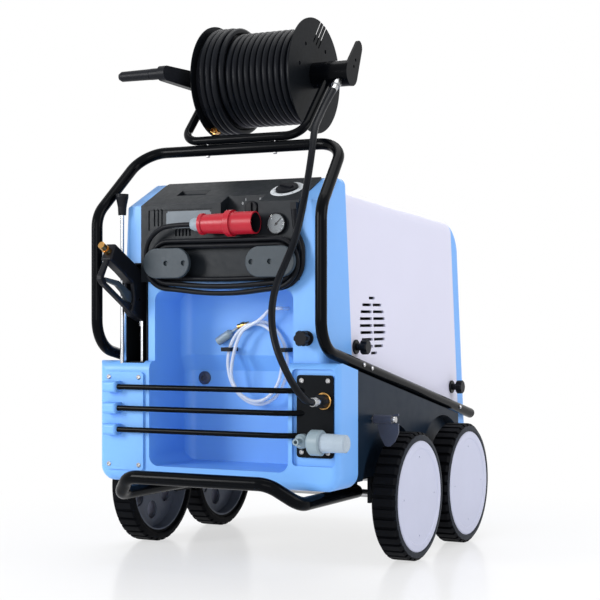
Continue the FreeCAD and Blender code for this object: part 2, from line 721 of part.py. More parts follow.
def chassis():
    top = D.pan_floor_z + D.pan_wall
    pan = block("pan_plate", (-D.pan_half_width, D.pan_half_width),
                (D.pan_front_y, D.pan_rear_y), (D.pan_floor_z, top))
    parts = [pan]
    tools = []
    for y in (D.front_axle_y, D.front_axle_y + D.wheelbase):
        tag = "front" if y < 0 else "rear"
        for side in (1, -1):
            x = (D.pan_half_width - D.bracket_wall, D.pan_half_width)
            if side < 0:
                x = (-D.pan_half_width, D.bracket_wall - D.pan_half_width)
            half = D.bracket_length / 2
            parts.append(block("bracket_%s_%d" % (tag, side), x, (y - half, y + half),
                               (D.tyre_radius - D.bracket_drop, top)))
        tools.append(rod("axle_bore_" + tag, D.axle_radius + D.running_gap,
                         D.pan_half_width * 3, (-D.pan_half_width * 1.5, y, D.tyre_radius),
                         (1, 0, 0)))
    node(cut("pan_with_bores", fuse("pan_fused", *parts), *tools), "chassis_pan")


def foot_bar():
    half = [
        (D.foot_rear_half, D.foot_end_y, D.foot_low_z),
        (D.foot_rear_half, D.foot_bend_y, D.foot_low_z),
        (D.foot_front_half, D.foot_front_y, D.foot_front_z),
    ]
    points = [Vector(-x, y, z) for x, y, z in half] + [Vector(*p) for p in reversed(half)]
    radius = float(D.foot_bend_radius)
    wire = route_wire(points, [radius] * 4)
    tube = tube_along(wire, D.foot_tube_radius)
    lug_x = float(D.foot_rear_half)
    wall = float(D.foot_lug_wall)
    low = float(D.foot_low_z)
    for x in (lug_x, -lug_x):
        lug = Part.makeBox(wall, D.foot_lug_length, D.pan_floor_z - low,
                           Vector(x - wall / 2, D.foot_end_y - D.foot_lug_length - 6, low))
        tube = tube.fuse(lug)
    node(solid_of("foot_bar_tube", tube.removeSplitter()), "foot_bar")


def slope_z(y):
    """The height of the frame tube's side run at a place along Y."""
    drop = (D.frame_corner_z - D.frame_rear_z) / (D.frame_rear_y - D.frame_front_y)
    return D.frame_corner_z - (y - D.frame_front_y) * drop


def frame():
    half = [
        (D.frame_half, D.frame_rear_y, D.frame_rear_z),
        (D.frame_half, D.frame_front_y, D.frame_corner_z),
        (D.frame_half, D.frame_front_y, D.frame_knee_z),
        (D.handle_half, D.handle_y, D.handle_z),
    ]
    points = [Vector(-x, y, z) for x, y, z in half] + [Vector(*p) for p in reversed(half)]
    corner = float(D.frame_corner_radius)
    knee = float(D.frame_knee_radius)
    grip = float(D.handle_corner_radius)
    wire = route_wire(points, [corner, knee, grip, grip, knee, corner])
    pipe = tube_along(wire, D.frame_tube_radius)
    for y in (D.tube_bolt_front_y, D.tube_bolt_front_y + D.tube_bolt_pitch,
              D.tube_bolt_rear_y):
        base = Vector(-D.track / 2, y, slope_z(y))
        pipe = pipe.cut(Part.makeCylinder(D.tube_bolt_radius + D.running_gap, D.track, base,
                                          AXIS["x"]))
    for x in (D.handle_bolt_x, D.handle_bolt_x + D.handle_bolt_pitch):
        base = Vector(x, D.handle_y, D.handle_z - D.frame_tube_radius * 2)
        pipe = pipe.cut(Part.makeCylinder(D.tube_bolt_radius + D.running_gap,
                                          D.frame_tube_radius * 4, base))
    caps = []
    heading = (points[-1] - points[-2]).normalize()
    for end in (points[0], points[-1]):
        base = end + heading * float(D.fit_gap)
        caps.append(Part.makeCylinder(D.frame_tube_radius, D.frame_cap_wall, base, heading))
    node(solid_of("frame_pipe", Part.makeCompound([pipe] + caps)), "frame_tube")


# Body shells
def side_half(z, extra):
    """Half the body's width at a height: the sides lean in."""
    return D.side_foot_half + extra - (z - D.side_foot_z) * tangent(D.side_lean)


def leaning_sides(name, extra, low, top, front, rear):
    corners = [(-side_half(low, extra), low), (side_half(low, extra), low),
               (side_half(top, extra), top), (-side_half(top, extra), top)]
    return prism(name, "xz", corners, front, rear)


def roof_z(y):
    return D.hood_front_z - (y - D.hood_front_y) * tangent(D.hood_slope)


def rear_envelope(name, inset, front, low):
    """The body behind the front housing: leaning sides, sloping roof and round rear."""
    rear = D.body_rear_y - inset
    high = D.hood_front_z + 60
    reach = D.track
    corners = [(front, low), (rear, low), (rear, roof_z(rear) - inset),
               (front, roof_z(front) - inset)]
    side = prism(name + "_side", "yz", corners, -reach, reach)
    sides = leaning_sides(name + "_lean", -inset, low, high, front - 5, rear + 5)
    block_form = common(name + "_block", side, sides)

    def roof_end(edge):
        spot = middle(edge)
        return runs_along("x")(edge) and spot.y > rear - 1 and spot.z > low + 1

    turned = rounded(name + "_rear_round", block_form, D.rear_round - inset, roof_end)

    def rim(edge):
        spot = middle(edge)
        ends = [edge.valueAt(p) for p in edge.ParameterRange]
        along = abs(ends[0].x - ends[1].x) < abs(ends[0].y - ends[1].y) + abs(
            ends[0].z - ends[1].z)
        inside = front + 1 < spot.y and spot.z > low + 1
        upper = spot.z > low + (high - low) * 0.3 or spot.y > rear - 1
        return along and inside and upper and abs(spot.x) > 100

    return rounded(name + "_rounds", turned, D.roof_edge_round - inset, rim)


def below_slope(name, lift, reach):
    """Everything below a line parallel to the frame tube's side run."""
    front = D.frame_front_y - 60
    rear = D.body_rear_y + 60
    corners = [(front, NONE), (rear, NONE), (rear, slope_z(rear) + lift),
               (front, slope_z(front) + lift)]
    return prism(name, "yz", corners, -reach, reach)


def vent_slots(y, x):
    """Rows of slots inside a circle, split by a bar down the middle."""
    slots = []
    rows = int(D.vent_rows)
    pitch = D.vent_radius * 2 / D.vent_rows
    for row in range(rows):
        height = D.vent_radius - pitch * (row + 0.5)
        share = float(height) / float(D.vent_radius)
        wide = D.vent_radius * math.sqrt(1 - share * share)
        half = D.vent_slot_height / 2
        spans = [(-wide, -D.vent_bar / 2), (D.vent_bar / 2, wide)]
        if row in (0, rows - 1):
            spans = [(-wide / 2, wide / 2)]
        for index, (low, top) in enumerate(spans):
            slots.append(block("vent_%s_%d_%d" % ("r" if x > 0 else "l", row, index),
                               (x - 20, x + 20), (y + low, y + top),
                               (D.vent_z + height - half, D.vent_z + height + half)))
    return slots


def hood_and_rear_panel():
    front = D.hood_front_y
    outer = rear_envelope("rear_outer", NONE, front - 20, D.body_floor_z)
    inner = rear_envelope("rear_inner", D.shell_wall, front - 40, D.body_floor_z - 30)
    reach = D.track
    skin = cut("rear_skin", outer, inner)
    hood_zone = block("hood_zone", (-reach, reach), (front + D.seam_gap, D.hood_rear_y),
                      (NONE, D.hood_front_z * 2))
    low = below_slope("hood_foot_line", D.hood_foot_drop * -1, D.track)
    shell = cut("hood_trimmed", common("hood_slice", skin, hood_zone), low)
    tools = []
    for side in (1, -1):
        tools += vent_slots(D.vent_y, D.side_foot_half * side)
        for y, z in ((D.hood_knob_front_y, D.hood_knob_front_z),
                     (D.hood_knob_rear_y, D.hood_knob_rear_z)):
            tag = "hood_knob_hole_%d_%d" % (side, 0 if y < 0 else 1)
            tools.append(rod(tag, D.knob_stud_radius + D.fit_gap, D.shell_wall * 6,
                             (D.side_foot_half * side - D.shell_wall * 3, y, z), (1, 0, 0)))
    node(cut("hood_holed", shell, *tools), "hood")

    rear_zone = block("rear_zone", (-reach, reach),
                      (D.hood_rear_y + D.seam_gap, D.body_rear_y + 10),
                      (NONE, D.hood_front_z * 2))
    foot_zone = block("rear_foot_zone", (-reach, reach),
                      (D.panel_rear_y + D.seam_gap, D.body_rear_y + 10),
                      (NONE, D.hood_front_z))
    lower = common("rear_lower_zone", foot_zone,
                   below_slope("rear_foot_line", -D.frame_tube_radius * 1.05 - D.ledge_gap - 1,
                               D.track))
    zone = fuse("rear_panel_zone", rear_zone, lower)
    x, y, z = fuel_cap_spot()
    bore = rod("fuel_neck_hole", D.fuel_neck_radius + D.fit_gap, D.fuel_cap_length * 4,
               (x, y - D.fuel_cap_length * 1.5, z - D.fuel_cap_length * 1.5), (0, 1, 1))
    node(cut("rear_panel_shell", common("rear_slice", skin, zone), bore), "rear_panel")


def fuel_cap_spot():
    """The point of the body's rear round that faces up and back at 45 degrees."""
    centre_y = D.body_rear_y - D.rear_round
    secant = Size(1 / math.cos(math.radians(D.hood_slope)), "(1 / cos(dims.hood_slope))")
    centre_z = roof_z(centre_y) - D.rear_round * secant
    share = math.sqrt(0.5)
    return D.fuel_cap_x, centre_y + D.rear_round * share, centre_z + D.rear_round * share


def fuel_cap():
    """A screw cap on the filler pipe, square to the body's rear round."""
    x, y, z = fuel_cap_spot()
    turn = Rotation(AXIS["x"], Vector(0, 1, 1))
    low = D.fuel_cap_lift
    high = low + D.fuel_cap_length
    inner = D.fuel_neck_radius + D.fit_gap
    crown = D.fuel_neck_reach + D.fit_gap
    corners = [(low, inner), (low, D.fuel_cap_radius), (high - 3, D.fuel_cap_radius),
               (high, D.fuel_cap_radius - 3), (high, NONE), (crown, NONE), (crown, inner)]
    node(lathe("fuel_cap_turned", corners, x, y, z, turn), "fuel_cap")


def ledge_z(y):
    """The ledge under the frame tube's side run."""
    return slope_z(y) - D.frame_tube_radius * 1.05 - D.ledge_gap


def upper_block(name, inset, rear):
    """The narrow upper half of the front housing, with its sloping brow."""
    front = D.upper_front_y + inset
    low = ledge_z(D.lower_rear_y) - 40
    top = D.upper_top_z - inset
    corners = [(front, low), (rear, low), (rear, top), (D.panel_crest_y, top),
               (front, D.panel_brow_z - inset * 0.6)]
    side = prism(name + "_side", "yz", corners, -D.track, D.track)
    extra = D.front_proud - inset
    sides = leaning_sides(name + "_lean", extra, low - 5, top + 5, front - 5, rear + 5)
    return common(name + "_block", side, sides), front, low, top


def upper_form(name, inset, rear):
    raw, front, low, top = upper_block(name, inset, rear)

    def rim(edge):
        spot = middle(edge)
        return (abs(spot.x) > 150 and spot.y < rear - 1 and spot.z > low + 1
                and not runs_along("x")(edge))

    return rounded(name + "_rounds", raw, D.upper_edge_round - inset, rim)


def lower_form(name, inset, rear):
    """The wide lower half of the front housing, under the sloping ledge."""
    front = D.lower_front_y + inset
    floor = D.lower_floor_z + inset
    half = D.lower_half - inset
    corners = [(front, floor), (rear, floor), (rear, ledge_z(rear) - inset),
               (front, ledge_z(front) - inset)]
    raw = prism(name, "yz", corners, -half, half)

    def bottom(edge):
        spot = middle(edge)
        return runs_along("y")(edge) and spot.z < floor + 1

    turned = rounded(name + "_corners", raw, D.lower_corner_round - inset, bottom)

    def face(edge):
        return middle(edge).y < front + 0.5

    return rounded(name + "_rounds", turned, D.lower_edge_round - inset, face)


def recess_form(name, grow):
    """The storage recess: its lower part lies deeper than its upper part."""
    left = D.recess_left_x - grow
    right = D.recess_right_x + grow
    floor = D.recess_floor_z - grow
    roof = D.recess_roof_z + grow
    rear = D.recess_rear_y + grow
    front = D.lower_front_y - D.lower_edge_round
    step_z = D.recess_step_z
    corners = [(front, floor), (rear, floor), (rear, step_z - D.recess_step + grow),
               (rear - D.recess_step, step_z + D.recess_step + grow),
               (rear - D.recess_step, roof), (front, roof)]
    raw = prism(name, "yz", corners, left, right)

    def corner(edge):
        spot = middle(edge)
        side = spot.x < left + 1 or spot.x > right - 1
        return side and spot.y > front + 1

    return rounded(name + "_rounds", raw, D.recess_round + grow, corner)


def channel_block(name, grow, front, depth):
    return block(name, (D.channel_left_x - grow, D.channel_right_x + grow),
                 (front, D.upper_front_y + depth + grow),
                 (D.channel_floor_z - grow, D.channel_roof_z + grow))


def panel_prism(name, grow, rear_extra):
    """The control panel's space in the brow of the front housing."""
    front = D.upper_front_y - D.panel_proud
    back = D.upper_front_y + D.panel_depth + rear_extra
    top = D.upper_top_z + D.panel_proud * 0.6
    low = D.panel_low_z - grow
    crest = D.panel_crest_y + 12 + grow
    corners = [(front, low), (front, D.panel_brow_z), (D.panel_crest_y, top), (crest, top),
               (crest, D.upper_top_z - D.panel_depth - rear_extra),
               (back, D.panel_brow_z - D.panel_depth * 0.6 - rear_extra), (back, low)]
    raw = prism(name, "yz", corners, D.panel_left_x - grow, D.panel_right_x + grow)

    def corner(edge):
        return runs_along("z")(edge) and middle(edge).y > crest - 1

    return rounded(name + "_corners", raw, D.panel_corner_round + grow, corner)


def front_housing():
    seam = D.hood_front_y
    outer = fuse("front_outer", upper_form("upper_outer", NONE, seam),
                 lower_form("lower_outer", NONE, D.lower_rear_y))
    inner = fuse("front_inner", upper_form("upper_inner", D.shell_wall, seam + 20),
                 lower_form("lower_inner", D.shell_wall, D.lower_rear_y + 20))
    shell = cut("front_shell", outer, inner)
    tub = recess_form("recess_tub", D.shell_wall)
    behind = block("tub_zone", (-D.track, D.track),
                   (D.upper_front_y + 1, D.recess_rear_y + D.shell_wall * 2),
                   (NONE, D.upper_top_z))
    tub_low = common("tub_low", tub, lower_form("lower_solid", Size(1, "1"), D.lower_rear_y))
    tub_rear = common("tub_rear", tub, behind)
    bay_tub = common("bay_tub", bay_block("bay_outer", D.shell_wall),
                     lower_form("lower_bay_bounds", Size(1, "1"), D.lower_rear_y))
    boss_low = D.lance_low_z - D.shell_wall
    boss = rod("lance_boss", D.lance_radius + D.lance_gap + D.shell_wall,
               D.lower_floor_z * 2, (D.nozzle_x, D.nozzle_y, boss_low), (0, 0, 1))
    socket_wall = common("socket_wall", boss, lower_form("lower_socket_bounds", Size(1, "1"),
                                                         D.lower_rear_y))
    full = fuse("front_with_tub", shell, tub_low, tub_rear, bay_tub, socket_wall)
    recess = recess_form("recess_space", NONE)
    tools = [
        recess,
        bay_block("bay_space", NONE),
        channel_block("channel_space", NONE, D.lower_front_y - 20, D.channel_depth),
        panel_prism("panel_space", D.fit_gap, D.fit_gap),
        rod("nozzle_socket", D.lance_radius + D.lance_gap, D.lance_top_z,
            (D.nozzle_x, D.nozzle_y, D.lance_low_z), (0, 0, 1)),
        rod("front_knob_hole", D.knob_stud_radius + D.fit_gap, 30,
            (D.front_knob_x, D.upper_front_y - 5, D.front_knob_z), (0, 1, 0)),
        rod("plug_screw_hole", D.plug_screw_radius * 0.4, 60,
            (D.plug_screw_x, D.recess_rear_y - 30, D.plug_screw_z), (0, 1, 0)),
    ]
    node(cut("front_open", full, *tools), "front_housing")


def lance_tray():
    gap = -D.fit_gap
    wall = D.tray_wall + D.fit_gap
    outer = channel_block("tray_outer", gap, D.upper_front_y - 3, D.channel_depth)
    inner = channel_block("tray_inner", -wall, D.upper_front_y - 30, D.channel_depth)
    corner = panel_prism("tray_panel_room", D.fit_gap, D.fit_gap * 2)
    node(cut("tray_box", outer, inner, corner), "lance_tray")


def side_panel():
    front = D.lower_rear_y + D.seam_gap
    rear = D.panel_rear_y
    low = D.body_floor_z
    wall = D.panel_wall

    def sheet_form(name, x0, x1, foot=None):
        corners = [(front, foot or low), (rear, foot or low), (rear, ledge_z(rear)),
                   (front, ledge_z(front))]
        return prism(name, "yz", corners, x0, x1)

    def sloping(name, drop, rise, back, x0, x1):
        corners = [(front, ledge_z(front) - drop), (back, ledge_z(back) - drop),
                   (back, ledge_z(back) + rise), (front, ledge_z(front) + rise)]
        return prism(name, "yz", corners, x0, x1)

    inner_x = D.flange_half - D.flange_wall
    wheel_ys = (D.front_axle_y, D.front_axle_y + D.wheelbase)
    arches = [rod("arch_%d" % i, D.arch_radius, D.panel_half - D.arch_inner_half + 20,
                  (D.arch_inner_half + wall, y, D.tyre_radius), (1, 0, 0))
              for i, y in enumerate(wheel_ys)]
    bands = [rod("arch_band_%d" % i, D.arch_radius + wall,
                 D.panel_half - D.arch_inner_half, (D.arch_inner_half, y, D.tyre_radius),
                 (1, 0, 0)) for i, y in enumerate(wheel_ys)]
    bounds = sheet_form("side_bounds", D.arch_inner_half, D.panel_half)
    lining = common("arch_lining", bounds, fuse("arch_bands", *bands))
    rise = D.ledge_gap + D.frame_tube_radius * 1.05 + D.flange_rise
    rear_wall = block("side_rear_wall", (D.arch_inner_half, D.panel_half), (rear - wall, rear),
                      (low, ledge_z(rear) - wall))
    skin = fuse("side_skin",
                sheet_form("side_outer", D.panel_half - wall, D.panel_half),
                sheet_form("side_inner", D.arch_inner_half, D.arch_inner_half + wall),
                sloping("side_shelf", wall, NONE, rear, inner_x, D.panel_half),
                sloping("side_flange", NONE, rise, D.flange_rear_y, inner_x,
                        D.flange_half),
                lining, rear_wall)
    return cut("side_panel_form", skin, *(arches + bolt_bores()))


TUBE_BOLTS = (D.tube_bolt_front_y, D.tube_bolt_front_y + D.tube_bolt_pitch,
              D.tube_bolt_rear_y)


def bolt_bores():
    length = D.frame_tube_radius * 6
    return [rod("bolt_bore_%d" % i, D.tube_bolt_radius + D.running_gap, length,
                (D.frame_half - length / 2, y, slope_z(y)), (1, 0, 0))
            for i, y in enumerate(TUBE_BOLTS)]


def side_panels():
    form = side_panel()
    bore = rod("brake_pin_bore", D.brake_pin_radius + D.running_gap, D.panel_half,
               (D.arch_inner_half - 20, *brake_place()), (1, 0, 0))
    right = cut("side_panel_drilled", form, bore)
    left = mirror("side_panel_mirrored", form)
    node(group("side_panel_pair", right, left), "side_panels")


def tube_bolts():
    """Domed bolts through the frame tube into the side panels' flanges."""
    low = D.flange_half - D.flange_wall - D.fit_gap - D.frame_half
    top = D.frame_tube_radius + 0.2
    corners = [(low, NONE), (low, D.tube_bolt_radius), (top, D.tube_bolt_radius),
               (top, D.tube_bolt_head), (top + 2, D.tube_bolt_head),
               (top + 4, D.tube_bolt_head - 2.5), (top + 4, NONE)]
    bolts = []
    for side in (1, -1):
        for index, y in enumerate(TUBE_BOLTS):
            turn = Rotation(AXIS["z"], 0 if side > 0 else 180)
            bolts.append(lathe("tube_bolt_%d_%d" % (side, index), corners,
                               D.frame_half * side, y, slope_z(y), turn))
    return bolts


def handle_bolts():
    """Bolts up through the handle bar into the reel frame's foot tube."""
    head = D.handle_z - D.frame_tube_radius - 0.2
    top = reel_foot_z() + D.reel_tube_radius - D.handle_z
    low = head - D.handle_z
    corners = [(low - 4, NONE), (low - 4, D.tube_bolt_head - 1.5),
               (low - 2, D.tube_bolt_head), (low, D.tube_bolt_head),
               (low, D.tube_bolt_radius), (top - 4, D.tube_bolt_radius), (top - 4, NONE)]
    turn = turn_to((0, 0, 1)).multiply(Rotation(AXIS["y"], -90))
    return [lathe("handle_bolt_%d" % i, corners, x, D.handle_y, D.handle_z, turn)
            for i, x in enumerate((D.handle_bolt_x, D.handle_bolt_x + D.handle_bolt_pitch))]


def reel_foot_z():
    """The reel frame's foot tube lies on the handle bar."""
    return D.handle_z + D.frame_tube_radius + D.reel_tube_radius + D.reel_frame_z_gap


# Front fittings
FORWARD = Rotation(AXIS["x"], Vector(0, -1, 0))


def bay_block(name, grow):
    """The shallow bay behind the connection plate."""
    front = D.lower_front_y - D.lower_edge_round
    raw = block(name, (D.bay_left_x - grow, D.bay_right_x + grow),
                (front, D.lower_front_y + D.bay_depth + grow),
                (D.bay_low_z - grow, D.bay_top_z + grow))
    return rounded(name + "_rounds", raw, D.bay_round + grow,
                   lambda edge: runs_along("y")(edge))


def plate_face():
    """The front face of the connection plate."""
    return D.lower_front_y + D.bay_depth - D.fit_gap - D.plate_wall


def bar_heights():
    return [D.bar_low_z + D.bar_pitch * index for index in range(3)]


def bar_plate():
    back = D.lower_front_y - D.fit_gap
    plate = block("bar_plate_sheet", (D.bar_plate_left_x, D.bar_plate_right_x),
                  (back - D.plate_wall, back), (D.bar_plate_low_z, D.bar_plate_top_z))
    plate = rounded("bar_plate_corners", plate, Size(9, "9"), runs_along("y"))
    reach = D.bar_y - D.boss_half
    bosses = []
    bores = []
    for index, z in enumerate(bar_heights()):
        raw = block("boss_%d" % index, (D.boss_left_x, D.boss_right_x),
                    (reach, back - D.plate_wall / 2), (z - D.boss_half, z + D.boss_half))
        bosses.append(rounded("boss_round_%d" % index, raw, Size(8, "8"),
                              lambda edge: middle(edge).y < reach + 1))
        bores.append(rod("boss_bore_%d" % index, D.bar_radius + D.running_gap,
                         D.boss_right_x - D.bar_left_x + 2,
                         (D.bar_left_x - 1, D.bar_y, z), (1, 0, 0)))
    return cut("bar_plate", fuse("bar_plate_fused", plate, *bosses), *bores)


def guard_bars():
    """Three round bars across the recess, bent back to the connection plate."""
    face = float(plate_face() - D.fit_gap)
    rear = face + 12
    bars = []
    inlet_room = Part.makeCylinder(D.inlet_collar_radius + D.fit_gap, 60,
                                   Vector(D.inlet_x, face, D.inlet_z), Vector(0, -1, 0))
    for z in bar_heights():
        points = [Vector(D.bar_left_x, D.bar_y, z), Vector(D.bar_bend_x, D.bar_y, z),
                  Vector(D.bar_end_x, rear, z)]
        wire = route_wire(points, [float(D.bar_bend_radius)])
        bar = tube_along(wire, D.bar_radius)
        stop = Part.makeBox(200, 60, 60, Vector(D.bar_bend_x, face, z - 30))
        bars.append(bar.cut([stop, inlet_room]))
    node(solid_of("guard_bar_set", Part.makeCompound(bars)), "guard_bars")


def connection_plate():
    face = plate_face()
    plate = block("connection_sheet", (D.connection_left_x, D.connection_right_x),
                  (face, face + D.plate_wall), (D.connection_low_z, D.connection_top_z))
    plate = rounded("connection_corners", plate, Size(8, "8"), runs_along("y"))
    bores = [rod("outlet_bore", D.nipple_radius + D.running_gap, D.plate_wall * 3,
                 (D.outlet_x, face - D.plate_wall, D.outlet_z), (0, 1, 0))]
    return cut("connection_plate", plate, *bores)


def mounting_plates():
    node(group("plate_pair", bar_plate(), connection_plate()), "mounting_plates")


def screw(name, x, face, z, radius, height):
    """A domed socket screw head that faces forward."""
    corners = [(NONE, NONE), (NONE, radius), (height * 0.5, radius),
               (height, radius * 0.62), (height, radius * 0.42),
               (height * 0.5, radius * 0.38), (height * 0.5, NONE)]
    return lathe(name, corners, x, face, z, FORWARD)


def front_screws():
    """The screws at the plates' corners and the plug in the recess."""
    heads = []
    inset = D.plate_screw_inset
    bar_face = D.lower_front_y - D.fit_gap - D.plate_wall
    sheets = (
        ("bar", D.bar_plate_left_x, D.bar_plate_right_x, D.bar_plate_low_z,
         D.bar_plate_top_z, bar_face),
        ("connection", D.connection_left_x, D.connection_right_x, D.connection_low_z,
         D.connection_top_z, plate_face()),
    )
    for tag, left, right, low, top, face in sheets:
        for i, x in enumerate((left + inset, right - inset)):
            for j, z in enumerate((low + inset, top - inset)):
                heads.append(screw("%s_screw_%d%d" % (tag, i, j), x, face, z,
                                   D.plate_screw_radius, D.plate_screw_head))
    heads.append(screw("recess_plug", D.plug_screw_x, D.recess_rear_y - D.fit_gap,
                       D.plug_screw_z, D.plug_screw_radius, D.plug_screw_radius * 0.5))
    return heads


def fasteners():
    node(group("fastener_set", *(front_screws() + tube_bolts() + handle_bolts())), "fasteners")


def outlet():
    """Pressure outlet: nipple and ring, a lobed union nut that turns, and a ferrule."""
    face = plate_face()
    ring = D.outlet_ring
    nut_low = ring + D.fit_gap
    nut_high = nut_low + D.outlet_nut_length
    ferrule_low = nut_high + D.fit_gap
    nipple = [(-D.plate_wall, NONE), (-D.plate_wall, D.nipple_radius),
              (D.fit_gap, D.nipple_radius), (D.fit_gap, D.outlet_ring_radius),
              (ring - 1, D.outlet_ring_radius), (ring, D.outlet_ring_radius - 2),
              (ring, D.nipple_radius), (nut_high, D.nipple_radius), (nut_high, NONE)]
    brass = lathe("outlet_nipple", nipple, D.outlet_x, face, D.outlet_z, FORWARD)
    end = ferrule_low + D.ferrule_length
    sleeve = [(ferrule_low, NONE), (ferrule_low, D.ferrule_radius - 1.5),
              (ferrule_low + 4, D.ferrule_radius), (end - 4, D.ferrule_radius),
              (end, D.ferrule_radius - 0.8), (end, NONE)]
    chrome = lathe("hose_ferrule", sleeve, D.outlet_x, face, D.outlet_z, FORWARD)
    node(group("outlet_set", brass, chrome), "outlet_fitting")
    bore = D.nipple_radius + D.running_gap
    shape = [(nut_low, bore), (nut_low, D.outlet_nut_radius - 2),
             (nut_low + 3, D.outlet_nut_radius), (nut_high - 3, D.outlet_nut_radius),
             (nut_high, D.outlet_nut_radius - 3), (nut_high, bore)]
    nut = lathe("outlet_nut_turned", shape, D.outlet_x, face, D.outlet_z, FORWARD)
    drill_ring(nut, "outlet_nut_lobes", D.outlet_nut_radius + 1, Size(4.5, "4.5"),
               D.outlet_nut_lobes, nut_low - 1, nut_high + 1)
    node(nut, "outlet_nut")


def water_inlet():
    """Hose barb, its collar and the head of the clear filter bowl beside it."""
    face = plate_face()
    step = D.inlet_reach
    tip = step + D.barb_length
    shape = [(D.fit_gap, D.barb_bore), (tip, D.barb_bore), (tip, D.barb_radius),
             (step, D.barb_radius), (step, D.barb_radius + 4),
             (step - 8, D.inlet_collar_radius), (D.fit_gap, D.inlet_collar_radius)]
    barb = lathe("inlet_barb", shape, D.inlet_x, face, D.inlet_z, FORWARD)
    pipe = rod("inlet_pipe", D.inlet_pipe_radius,
               D.filter_x - D.inlet_x - D.inlet_collar_radius + 6,
               (D.inlet_x + D.inlet_collar_radius - 5, face - step / 2, D.inlet_z),
               (1, 0, 0))
    long = D.filter_collar_length
    inner = D.filter_bowl_radius + D.fit_gap
    head = [(NONE, NONE), (NONE, D.filter_collar_radius - 4),
            (Size(4, "4"), D.filter_collar_radius), (long - 3, D.filter_collar_radius),
            (long, D.filter_collar_radius - 3), (long, inner),
            (long - D.filter_socket, inner), (long - D.filter_socket, NONE)]
    cup = lathe("filter_head", head, D.filter_x, D.filter_y, D.inlet_z)
    node(fuse("inlet_fused", barb, pipe, cup), "water_inlet")
    low = long - D.filter_socket + D.fit_gap
    end = low + D.filter_bowl_length + D.filter_socket
    radius = D.filter_bowl_radius
    bowl = [(low, radius - D.filter_wall), (low, radius), (end - 3, radius - 2),
            (end, radius - 5), (end, NONE), (end - D.filter_wall, NONE),
            (end - D.filter_wall, radius - 2 - D.filter_wall)]
    cup = lathe("filter_bowl_turned", bowl, D.filter_x, D.filter_y, D.inlet_z)
    node(cup, "filter_bowl")


def star_knob(name, x, y, z, turn):
    """A lobed knob on a neck, with its washer disc and the end of its stud."""
    disc = D.fit_gap + D.knob_disc_wall
    head = disc + D.knob_neck
    end = head + D.knob_head
    stud = -D.knob_stud
    corners = [
        (stud, NONE), (stud, D.knob_stud_radius), (D.fit_gap, D.knob_stud_radius),
        (D.fit_gap, D.knob_disc_radius), (disc - 1, D.knob_disc_radius),
        (disc, D.knob_disc_radius - 1), (disc, D.knob_neck_radius),
        (head, D.knob_neck_radius), (head, D.knob_head_radius - 2),
        (head + 2, D.knob_head_radius), (end - 3, D.knob_head_radius),
        (end, D.knob_head_radius - 3), (end, NONE),
    ]
    body = lathe(name, corners, x, y, z, turn)
    return drill_ring(body, name + "_lobes", D.knob_head_radius + D.knob_scallop * 0.4,
                      D.knob_scallop, D.knob_lobes, head - 1, end + 1)


def hand_screws():
    knobs = [star_knob("front_knob", D.front_knob_x, D.upper_front_y, D.front_knob_z, FORWARD)]
    for side, word in ((1, "right"), (-1, "left")):
        turn = Rotation(AXIS["z"], 0 if side > 0 else 180)
        for y, z, place in ((D.hood_knob_front_y, D.hood_knob_front_z, "front"),
                            (D.hood_knob_rear_y, D.hood_knob_rear_z, "rear")):
            x = side_half(z - D.knob_disc_radius, 0)
            knobs.append(star_knob("hood_knob_%s_%s" % (place, word), x * side, y, z, turn))
    node(group("knob_set", *knobs), "hand_screws")


# Control panel
def panel_face():
    return D.upper_front_y - D.panel_proud


def brow_z(y):
    """The height of the panel's slope at a place along Y."""
    rise = D.upper_top_z + D.panel_proud * 0.6 - D.panel_brow_z
    return D.panel_brow_z + (y - panel_face()) * (rise / (D.panel_crest_y - panel_face()))


def slope_turn():
    """The rotation that carries X to the slope's outward normal."""
    rise = float(brow_z(D.panel_crest_y) - D.panel_brow_z)
    run = float(D.panel_crest_y - panel_face())
    return Rotation(AXIS["x"], Vector(0, -rise, run))


def dial_bore_foot():
    """Where the thermostat dial's bore starts, under the slope."""
    deep = slope_turn().multVec(AXIS["x"]) * float(D.side_wall * 1.2)
    return D.dial_x, D.dial_y - deep.y, brow_z(D.dial_y) - deep.z


def panel_well(name, grow):
    """The stepped hollow that holds the main switch."""
    return block(name, (D.well_left_x - grow, D.well_right_x + grow),
                 (panel_face() - 10, D.well_rear_y + grow),
                 (D.well_low_z - grow, D.upper_top_z + 20))


def panel_pocket(name, grow):
    """The shallow hand hollow in the slope."""
    corners = [(D.pocket_front_y - grow, brow_z(D.pocket_front_y) + 30),
               (D.pocket_front_y - grow, brow_z(D.pocket_front_y) - D.pocket_depth - grow),
               (D.pocket_rear_y + grow, brow_z(D.pocket_rear_y) - D.pocket_depth - grow),
               (D.pocket_rear_y + grow, brow_z(D.pocket_rear_y) + 30)]
    return prism(name, "yz", corners, D.pocket_left_x - grow, D.pocket_right_x + grow)


def panel_hollow():
    """The room behind the panel's walls, less the walls round its wells."""
    wall = D.side_wall
    depth = D.panel_wall_depth
    front = panel_face() + depth
    back = D.upper_front_y + D.panel_depth + 10
    low = D.panel_low_z + wall
    top = D.upper_top_z + D.panel_proud * 0.6 - depth
    corners = [(front, low), (front, D.panel_brow_z - depth * 0.8),
               (D.panel_crest_y, top), (D.panel_crest_y + 2, top),
               (D.panel_crest_y + 2, D.upper_top_z - D.panel_depth - 10), (back, low)]
    room = prism("panel_room", "yz", corners, D.panel_left_x + wall, D.panel_right_x - wall)
    boss = rod("gauge_boss", D.gauge_radius + wall, D.panel_depth,
               (D.gauge_x, panel_face(), D.gauge_z), (0, 1, 0))
    return cut("panel_hollow", room, panel_well("well_walls", wall),
               panel_pocket("pocket_walls", wall), boss)


